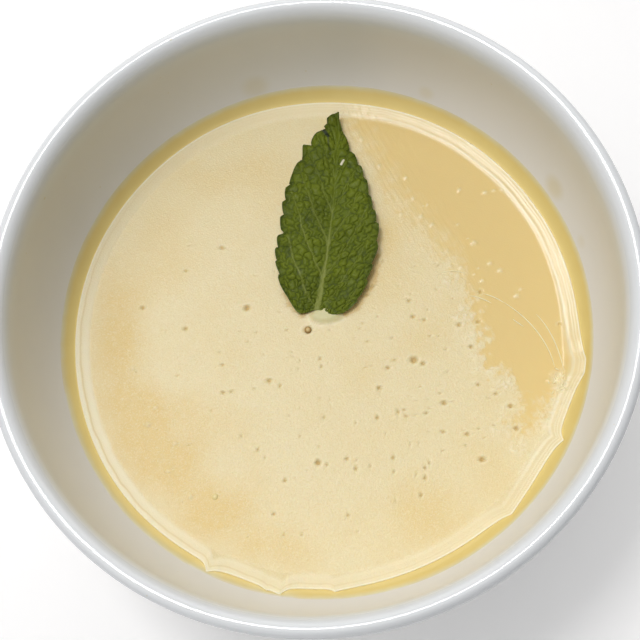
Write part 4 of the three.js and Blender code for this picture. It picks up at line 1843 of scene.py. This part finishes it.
@dataclass
class MintLeaf:
    """One serrated mint leaf, quilted between its veins, with a channelled pale midrib."""

    cream: SetCream
    base_y: float = 4.4
    length: float = 53.4
    base_x: float = -1.4
    lean: float = 9.8
    bend: float = -4.9
    thickness: float = 0.36
    margin_thinning: float = 0.45
    clearance: float = 0.08

    # Outline.
    teeth: int = 12
    tooth_depth: float = 0.65
    tooth_slant: float = 0.74
    tooth_forward: float = 0.45
    least_tooth: float = 0.45
    margin_sway: float = 0.3
    long_tooth: Line = Line(0.812, 0.014, 1.5)
    tip_half_width: float = 0.35
    flap_from: Range = (0.90, 0.95)
    flap_drop: float = 1.2
    flap_drop_from: Range = (0.93, 1.0)
    base_notch: float = 1.4
    notch_breadth: float = 3.0
    base_rounding: float = 1.3

    # Height.
    rib_dip: float = 0.9
    crown: float = 1.1
    tip_rise: float = 2.6
    channel_depth: float = 0.16
    ripple: Uneven = Uneven(0.30, 13, seed=2)
    ripple_span: Place = (53, 12)
    quilt: float = 0.85

    # Veins, and the cells between them.
    side_veins: int = 6
    vein_sweep: float = 1.5
    vein_steepening: float = 1.1
    vein_waver: Uneven = Uneven(0.35, 6, seed=41)
    vein_edge: Range = (0.30, 0.05)
    vein_end: Range = (0.98, 0.7)
    last_veins: Range = (0.93, 0.7)
    cell_breadth: float = 0.82
    cell_growth: float = 0.95
    cell_stretch: float = 1.65
    cell_round: float = 0.55
    cell_edge: Range = (0.22, 0.0)
    cell_waver_along: Uneven = Uneven(0.35, 2.6, seed=43)
    cell_waver_beside: Uneven = Uneven(0.45, 2.2, seed=42)
    cell_throws: int = 7000
    cell_reach: float = 14
    rib_halves: tuple[Place, ...] = ((0, 0.95), (0.15, 0.62), (0.4, 0.26), (0.6, 0.12), (1, 0.05))
    rib_shares: tuple[Place, ...] = ((0, 1), (0.25, 0.9), (0.4, 0.7), (0.6, 0.3), (0.9, 0.1))
    pale_veins: tuple[float, float] = (0.55, 0.3)
    rows: int = 340
    columns: int = 135

    def tooth(self, s: Array, salt: float) -> tuple[Array, Array]:
        """Rounded lobes along one margin: each swells to its point, then drops fast.

        Args:
            s: Share of the leaf's length.
            salt: Picks that margin's own uneven teeth.

        Returns:
            The lobe's rise from 0 to 1, and its own depth about 1.
        """
        along = s * self.teeth + Ripple(0.22, 9, salt).at(s) + Ripple(0.12, 23, 2 * salt).at(s)
        phase = along - np.floor(along)
        swelling = 1 - (1 - phase / self.tooth_slant) ** 2
        rise = np.where(phase < self.tooth_slant, swelling, (1 - phase) / (1 - self.tooth_slant))
        return rise, self.least_tooth + scatter(np.floor(along), salt)

    def half_width(self, s: Array, half: HalfBlade) -> Array:
        """Breadth of one half of the leaf, with its teeth.

        Args:
            s: Share of the length.
            half: The half.

        Returns:
            The breadths.
        """
        blade = (half.base + half.swell * s) * np.clip(1 - s, 0, 1) ** half.taper
        rise, own = self.tooth(s, half.salt)
        depth = self.tooth_depth * own * np.clip(blade / 5, 0, 1)
        sway = Ripple(self.margin_sway, 19, half.salt).at(s) * np.clip(blade / 8, 0, 1)
        width = blade - depth * (1 - rise) + sway
        for mark in half.marks:
            width = width + mark.share * hump(s, mark.middle, mark.breadth)
        width = np.maximum(width, half.flap * smooth_step(*self.flap_from, s))
        nick = half.flap_nick.share * hump(s, half.flap_nick.middle, half.flap_nick.breadth)
        return np.maximum(self.tip_half_width, width + nick)

    def rib_line(self, s: Array) -> Array:
        """How far the midrib lies to the right at share s."""
        return self.base_x + self.lean * s + self.bend * s * s

    def swept(self, s: Array, off: Array) -> Array:
        """Where on the midrib the side vein through a place off millimetres beside it starts."""
        return self.length * s - (self.vein_sweep + self.vein_steepening * s) * off

    def apart(self, along: Array, off: Array, slope: Array) -> Array:
        """Length of a step, with the part that runs along a side vein counted as shorter.

        Args:
            along: Its part along the midrib.
            off: Its part away from the midrib.
            slope: The side vein's rise along the midrib over its reach away from it.

        Returns:
            The length.
        """
        scale = np.sqrt(1 + slope ** 2)
        return np.hypot((along - slope * off) / scale, (off + slope * along) / scale / self.cell_stretch)

    def seeds(self, half: HalfBlade) -> Array:
        """Middles of one half's cells: random places that keep apart, more so towards the tip.

        Args:
            half: The half.

        Returns:
            Distance along the midrib and away from it, and a random tone, as rows.
        """
        draw = np.random.default_rng(int(half.salt))
        found = np.array([[0.0, 1.0, 0.5]])
        low, high = (-2, 0.4, 0), (self.length + 1, self.cell_reach, 1)
        for place in draw.uniform(low, high, (self.cell_throws, 3)):
            share = place[0] / self.length
            slope = self.vein_sweep + self.vein_steepening * share
            gap = self.cell_breadth + self.cell_growth * np.clip(share, 0, 1)
            if self.apart(place[0] - found[:, 0], place[1] - found[:, 1], slope).min() > gap:
                found = np.vstack((found, place))
        return found

    def net(self, s: Array, out: Array, half: HalfBlade) -> dict[str, Array]:
        """The quilted cells between the veins of one half.

        A cell holds the places nearest to its seed, measured along and across the side veins.
        It bulges by 1 - exp(-border / cell_round), where border is the distance in millimetres to
        the next cell or the nearest side vein.

        Args:
            s: Share of the length.
            out: Share of the half's breadth.
            half: The half.

        Returns:
            bulge, vein, main and tone, from 0 to 1.
        """
        off = out * self.half_width(s, half)
        start = self.swept(s, off) + self.vein_waver.at(off, s * self.length)
        along = s * self.length + self.cell_waver_along.at(off, s * self.length)
        beside = off + self.cell_waver_beside.at(off, s * self.length)
        slope = self.vein_sweep + self.vein_steepening * s
        near, second = np.full(s.shape, 99.0), np.full(s.shape, 99.0)
        tone = np.zeros(s.shape)
        for seed_along, seed_off, own in self.seeds(half):
            distance = self.apart(along - seed_along, beside - seed_off, slope)
            closer = distance < near
            second = np.where(closer, near, np.minimum(second, distance))
            tone = np.where(closer, own, tone)
            near = np.where(closer, distance, near)
        side = start / self.length * self.side_veins
        off_vein = np.abs(side - np.round(side)) / self.side_veins * self.length / np.sqrt(1 + slope ** 2)
        main = smooth_step(*self.vein_edge, off_vein) * smooth_step(*self.vein_end, out)
        main = main * smooth_step(*self.last_veins, s)
        between = (second - near) * 0.5
        border = np.minimum(between * (0.75 + 0.6 * tone), 1.2 * off_vein + 1.5 * smooth_step(0.75, 1, out))
        bulge = (1 - np.exp(-border / self.cell_round)) * (0.55 + 0.6 * tone)
        return {"bulge": bulge, "vein": smooth_step(*self.cell_edge, border), "main": main, "tone": tone}

    def plan(self, s: Array, v: Array, width: Array) -> tuple[Array, Array]:
        """Where the leaf's points lie seen from above: across and along.

        Args:
            s: Share of the length.
            v: Share of the breadth, -1 to 1.
            width: Breadth of the half that each point is on.

        Returns:
            x and y.
        """
        out, is_left = np.abs(v), v < 0
        tooth = np.where(is_left, self.tooth(s, LEFT_HALF.salt)[0], self.tooth(s, RIGHT_HALF.salt)[0])
        y = self.base_y + self.length * s
        y = y + self.base_notch * hump(out * width, 0, self.notch_breadth) * (1 - s) ** 8
        y = y + self.base_rounding * out ** 5 * (1 - s) ** 12
        y = y + self.tooth_forward * tooth * out ** 5 * np.clip((1 - s) * 6, 0, 1)
        long_tooth = self.long_tooth.share * hump(s, self.long_tooth.middle, self.long_tooth.breadth)
        flap = self.flap_drop * smooth_step(*self.flap_drop_from, s)
        y = y + is_left * out * (out ** 4 * long_tooth - flap)
        return self.rib_line(s) + v * width, y

    def height(self, s: Array, v: Array, from_rib: Array, bulge: Array) -> Array:
        """Height of the leaf's middle surface: it lies on the cream and curls up at its margins.

        Args:
            s: Share of the length.
            v: Share of the breadth, -1 to 1.
            from_rib: Distance from the midrib.
            bulge: How far the quilted cells bulge, from 0 to 1.

        Returns:
            z.
        """
        out = np.abs(v)
        top = self.cream.surface + self.cream.swell
        lift = np.where(v < 0, LEFT_HALF.lift, RIGHT_HALF.lift)
        fade = np.minimum(1, 4 * s + 0.15) * (1 - 0.6 * s)
        crown = self.crown * np.sin(math.pi * np.minimum(1, out * 1.1)) * fade
        rib = self.rib_dip * np.sin(math.pi * np.minimum(1, s + 0.1))
        raised = lift * out ** 2 * np.sin(math.pi * np.minimum(1, s + 0.22))
        relief = self.quilt * (bulge - 0.5) * (1 - 0.3 * s)
        relief = relief * smooth_step(0.1, 0.8, from_rib) * smooth_step(1.02, 0.95, out)
        channel = self.channel_depth * smooth_step(0.6, 0.12, from_rib) * smooth_step(0.95, 0.5, s)
        ripple = self.ripple.at(s * self.ripple_span[0], v * self.ripple_span[1])
        ripple = ripple * out ** 2 * smooth_step(0.02, 0.15, s)
        rest = top + self.clearance + self.thickness / 2
        z = rest + rib + crown + raised + relief - channel + ripple + self.tip_rise * s ** 4
        return np.maximum(z, top + self.thickness)

    def middle(self, s: Array, v: Array) -> tuple[Array, dict[str, Array]]:
        """Points of the leaf's middle surface: s from base to tip, v from left to right margin.

        Args:
            s: Share of the length.
            v: Share of the breadth, -1 to 1.

        Returns:
            The points, and the values that the leaf's material reads.
        """
        out, is_left = np.abs(v), v < 0
        width = np.where(is_left, self.half_width(s, LEFT_HALF), self.half_width(s, RIGHT_HALF))
        from_rib = out * width
        left_net, right_net = self.net(s, out, LEFT_HALF), self.net(s, out, RIGHT_HALF)
        net = {key: np.where(is_left, left_net[key], right_net[key]) for key in left_net}
        x, y = self.plan(s, v, width)
        z = self.height(s, v, from_rib, net["bulge"])
        rib_half = np.interp(s, *zip(*self.rib_halves))
        rib_share = np.interp(s, *zip(*self.rib_shares))
        patch = smooth_step(1, 0.4, DARK_PATCH.away(x, y))
        # Painted shade along the margins and at the tip, and a darker patch near the left margin.
        margin = 0.45 * smooth_step(0.85, 1.0, out) + 0.45 * patch + 0.35 * smooth_step(0.85, 1, s)
        # Lighter where the cells bulge, painted light on their tops; paler on the main veins, and random
        # from cell to cell.
        tone = 0.05 + 0.25 * net["tone"] + 0.25 * net["bulge"] + 0.3 * net["main"]
        values = {
            "rib": smooth_step(1.15 * rib_half, 0.5 * rib_half, from_rib) * rib_share,
            "vein": net["main"] * smooth_step(0.75, 0.45, s) * np.where(is_left, *self.pale_veins),
            # Painted shade in the grooves between the cells.
            "groove_shade": 0.6 * net["vein"] * smooth_step(0.25, 0.7, from_rib) * (1 - 0.7 * net["main"]),
            "tone": np.clip(tone, 0, 1),
            "margin": np.clip(margin, 0, 1),
            # Painted shade in the fold beside the tip.
            "fold_shade": 0.9 * np.clip(sum(stroke.at(x, y) for stroke in FOLD), 0, 1),
            "pale_slit": SLIT.at(x, y),
        }
        return np.stack((x, y, z), axis=-1), values

    def build(self) -> Piece:
        """Makes the leaf: its middle surface moved by half its thickness to each side.

        Returns:
            The leaf.
        """
        across = np.linspace(-1, 1, self.columns)
        v, s = np.meshgrid(across, np.linspace(0, 1, self.rows))
        points, values = self.middle(s, v)
        along = np.gradient(points, axis=0)
        sideways = np.gradient(points, axis=1)
        normal = np.cross(sideways, along)
        normal /= np.maximum(np.linalg.norm(normal, axis=-1, keepdims=True), 1e-9)
        thin = self.thickness / 2 * (1 - self.margin_thinning * np.abs(v[..., None]) ** 4)
        upper, lower = points + normal * thin, points - normal * thin
        count = self.rows * self.columns
        face = quads(self.rows, self.columns)
        number = np.arange(count).reshape(self.rows, self.columns)
        rim = np.concatenate((number[0, :-1], number[:-1, -1], number[-1, :0:-1], number[:0:-1, 0]))
        after = np.roll(rim, -1)
        band = np.stack((rim, rim + count, after + count, after), axis=-1)
        under = {"under": np.concatenate((np.zeros(count), np.ones(count)))}
        both = {key: np.tile(value.ravel(), 2) for key, value in values.items()}
        surface = Surface(np.concatenate((upper.reshape(-1, 3), lower.reshape(-1, 3))),
                          [face, face[:, ::-1] + count, band], {**both, **under})
        piece = surface.piece("quilted_mint_leaf", LeafFinish().material())
        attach(piece, "root")
        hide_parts("mint_leaf")
        return piece


# ---------------------------------------------------------------- studio

# How far above the bowl the panel stands that shows in the rim, in metres.
RIM_LINE_RISE = 1.3


@dataclass(frozen=True)
class Panel:
    """A soft light: where it stands, what it points at, its size in metres and its radiance.

    With gloss_for, it only shows as a reflection, and only in the pieces named.
    """

    name: str
    place: Spot
    aim: Spot
    width: float
    height: float
    radiance: float
    colour: Colour
    gloss_for: tuple[Piece, ...] = ()

    def build(self) -> None:
        """Adds the light. A panel of radiance L and area A takes a power of 4 L A."""
        lamp = bpy.data.lights.new(self.name, "AREA")
        lamp.shape = "RECTANGLE"
        lamp.size, lamp.size_y = self.width, self.height
        lamp.energy = 4 * self.radiance * self.width * self.height
        lamp.color = self.colour
        light = bpy.data.objects.new(self.name, lamp)
        back = np.subtract(self.place, self.aim)
        light.matrix_world = look(np.array(self.place), back)
        if self.gloss_for:
            light.visible_diffuse = False
            light.light_linking.receiver_collection = bpy.data.collections.new(f"{self.name}_shows_in")
            for piece in self.gloss_for:
                light.light_linking.receiver_collection.objects.link(piece)
        bpy.context.scene.collection.objects.link(light)
        log.info("%s: light", self.name)


def look(place: Array, back: Array, roll: float = 0) -> Matrix:
    """World matrix of a camera or light at place whose local +Z points along back.

    Args:
        place: Where it is, in metres.
        back: The way it faces away from.
        roll: Degrees that it is turned about its own axis, anticlockwise seen from it.

    Returns:
        The matrix.
    """
    back = back / np.linalg.norm(back)
    right = np.cross((0, 0, 1), back)
    right = right / np.linalg.norm(right)
    up = np.cross(back, right)
    turned = right * math.cos(roll * DEGREE) + up * math.sin(roll * DEGREE)
    matrix = np.eye(4)
    matrix[:3, 0], matrix[:3, 1], matrix[:3, 2] = turned, np.cross(back, turned), back
    matrix[:3, 3] = place
    return Matrix(matrix.tolist())


@dataclass
class Studio:
    """Pale table, soft lights and the camera, which looks down into the bowl."""

    bowl: Piece
    azimuth: float = 17.83
    elevation: float = 73.04
    roll: float = -17.81
    distance: float = 0.3302
    aim: Spot = (-0.00046, 0.0031, 0.0295)
    focal_length: float = 75.375
    sensor: float = 36
    nearest: float = 0.01
    backdrop: Colour = (0.75, 0.755, 0.76)
    ambient: Colour = (0.06, 0.066, 0.075)
    floor_size: float = 8.0

    def camera(self) -> None:
        """Adds the camera at the viewing angle of the picture."""
        a, e = self.azimuth * DEGREE, self.elevation * DEGREE
        back = np.array([math.sin(a) * math.cos(e), -math.cos(a) * math.cos(e), math.sin(e)])
        lens = bpy.data.cameras.new("camera")
        lens.lens, lens.sensor_width, lens.clip_start = self.focal_length, self.sensor, self.nearest
        camera = bpy.data.objects.new("camera", lens)
        camera.matrix_world = look(np.array(self.aim) + self.distance * back, back, self.roll)
        bpy.context.scene.collection.objects.link(camera)
        bpy.context.scene.camera = camera

    def world(self) -> None:
        """A plain pale surround: seen and mirrored as it is, but giving only a little cool light."""
        world = bpy.data.worlds.new("surround")
        world.use_nodes = True
        tree = world.node_tree
        seen = tree.nodes["Background"]
        seen.inputs["Color"].default_value = (*self.backdrop, 1)
        given = tree.nodes.new("ShaderNodeBackground")
        given.inputs["Color"].default_value = (*self.ambient, 1)
        choice = tree.nodes.new("ShaderNodeMixShader")
        path = tree.nodes.new("ShaderNodeLightPath")
        tree.links.new(path.outputs["Is Diffuse Ray"], choice.inputs["Fac"])
        tree.links.new(seen.outputs[0], choice.inputs[1])
        tree.links.new(given.outputs[0], choice.inputs[2])
        tree.links.new(choice.outputs[0], tree.nodes["World Output"].inputs["Surface"])
        bpy.context.scene.world = world

    def floor(self) -> None:
        """A pale table top, its upper face at height 0."""
        half = self.floor_size / 2 / MM
        corners = half * np.array([(-1.0, -1, 0), (1, -1, 0), (1, 1, 0), (-1, 1, 0)])
        surface = Surface(corners, [np.array([[0, 1, 2, 3]])])
        surface.piece("table_top", FloorFinish().material())

    def build(self) -> None:
        """Adds everything round the object."""
        bpy.context.scene.view_settings.view_transform = "Standard"
        self.camera()
        self.world()
        self.floor()
        for panel in self.panels():
            panel.build()

    def panels(self) -> list[Panel]:
        """The lights: a broad ceiling, a key, two low windows, and one that only shows in the glaze.

        Returns:
            The panels.
        """
        middle = (0.0, 0.0, 0.03)
        white, warm, cool = (1.0, 0.98, 0.97), (1.0, 0.975, 0.94), (0.95, 0.98, 1.0)
        # The camera sees the last one in every level part of the rim: it draws the crisp white line.
        tilt, turn = math.tan((90 - self.elevation) * DEGREE), self.azimuth * DEGREE
        reach = RIM_LINE_RISE * tilt
        mirrored = (-reach * math.sin(turn), reach * math.cos(turn), middle[2] + RIM_LINE_RISE)
        return [
            Panel("ceiling", (-0.27, 0.0, 1.25), middle, 1.8, 1.5, 0.78, white),
            Panel("key", (-0.30, 0.22, 1.25), middle, 0.34, 0.34, 11.0, white),
            Panel("back_window", (0.06, 1.12, 0.70), middle, 1.6, 0.9, 1.0, warm),
            Panel("front_window", (-0.56, -0.97, 0.68), middle, 0.9, 0.7, 0.5, warm),
            Panel("rim_line", mirrored, middle, 0.28, 0.28, 12.0, cool, gloss_for=(self.bowl,)),
        ]


# ---------------------------------------------------------------- assembly


def main() -> None:
    logging.basicConfig(level=logging.INFO, format="%(name)s: %(message)s")
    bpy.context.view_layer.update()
    bowl = Bowl()
    cream = SetCream(bowl)
    pieces = [bowl.build(), cream.build(), SyrupRing(bowl, cream).build(), MintLeaf(cream).build()]
    pieces += SurfaceTraces(cream).build()
    Studio(pieces[0]).build()
    log.info("%d pieces", len(pieces))
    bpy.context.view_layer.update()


if __name__ == "__main__":
    main()
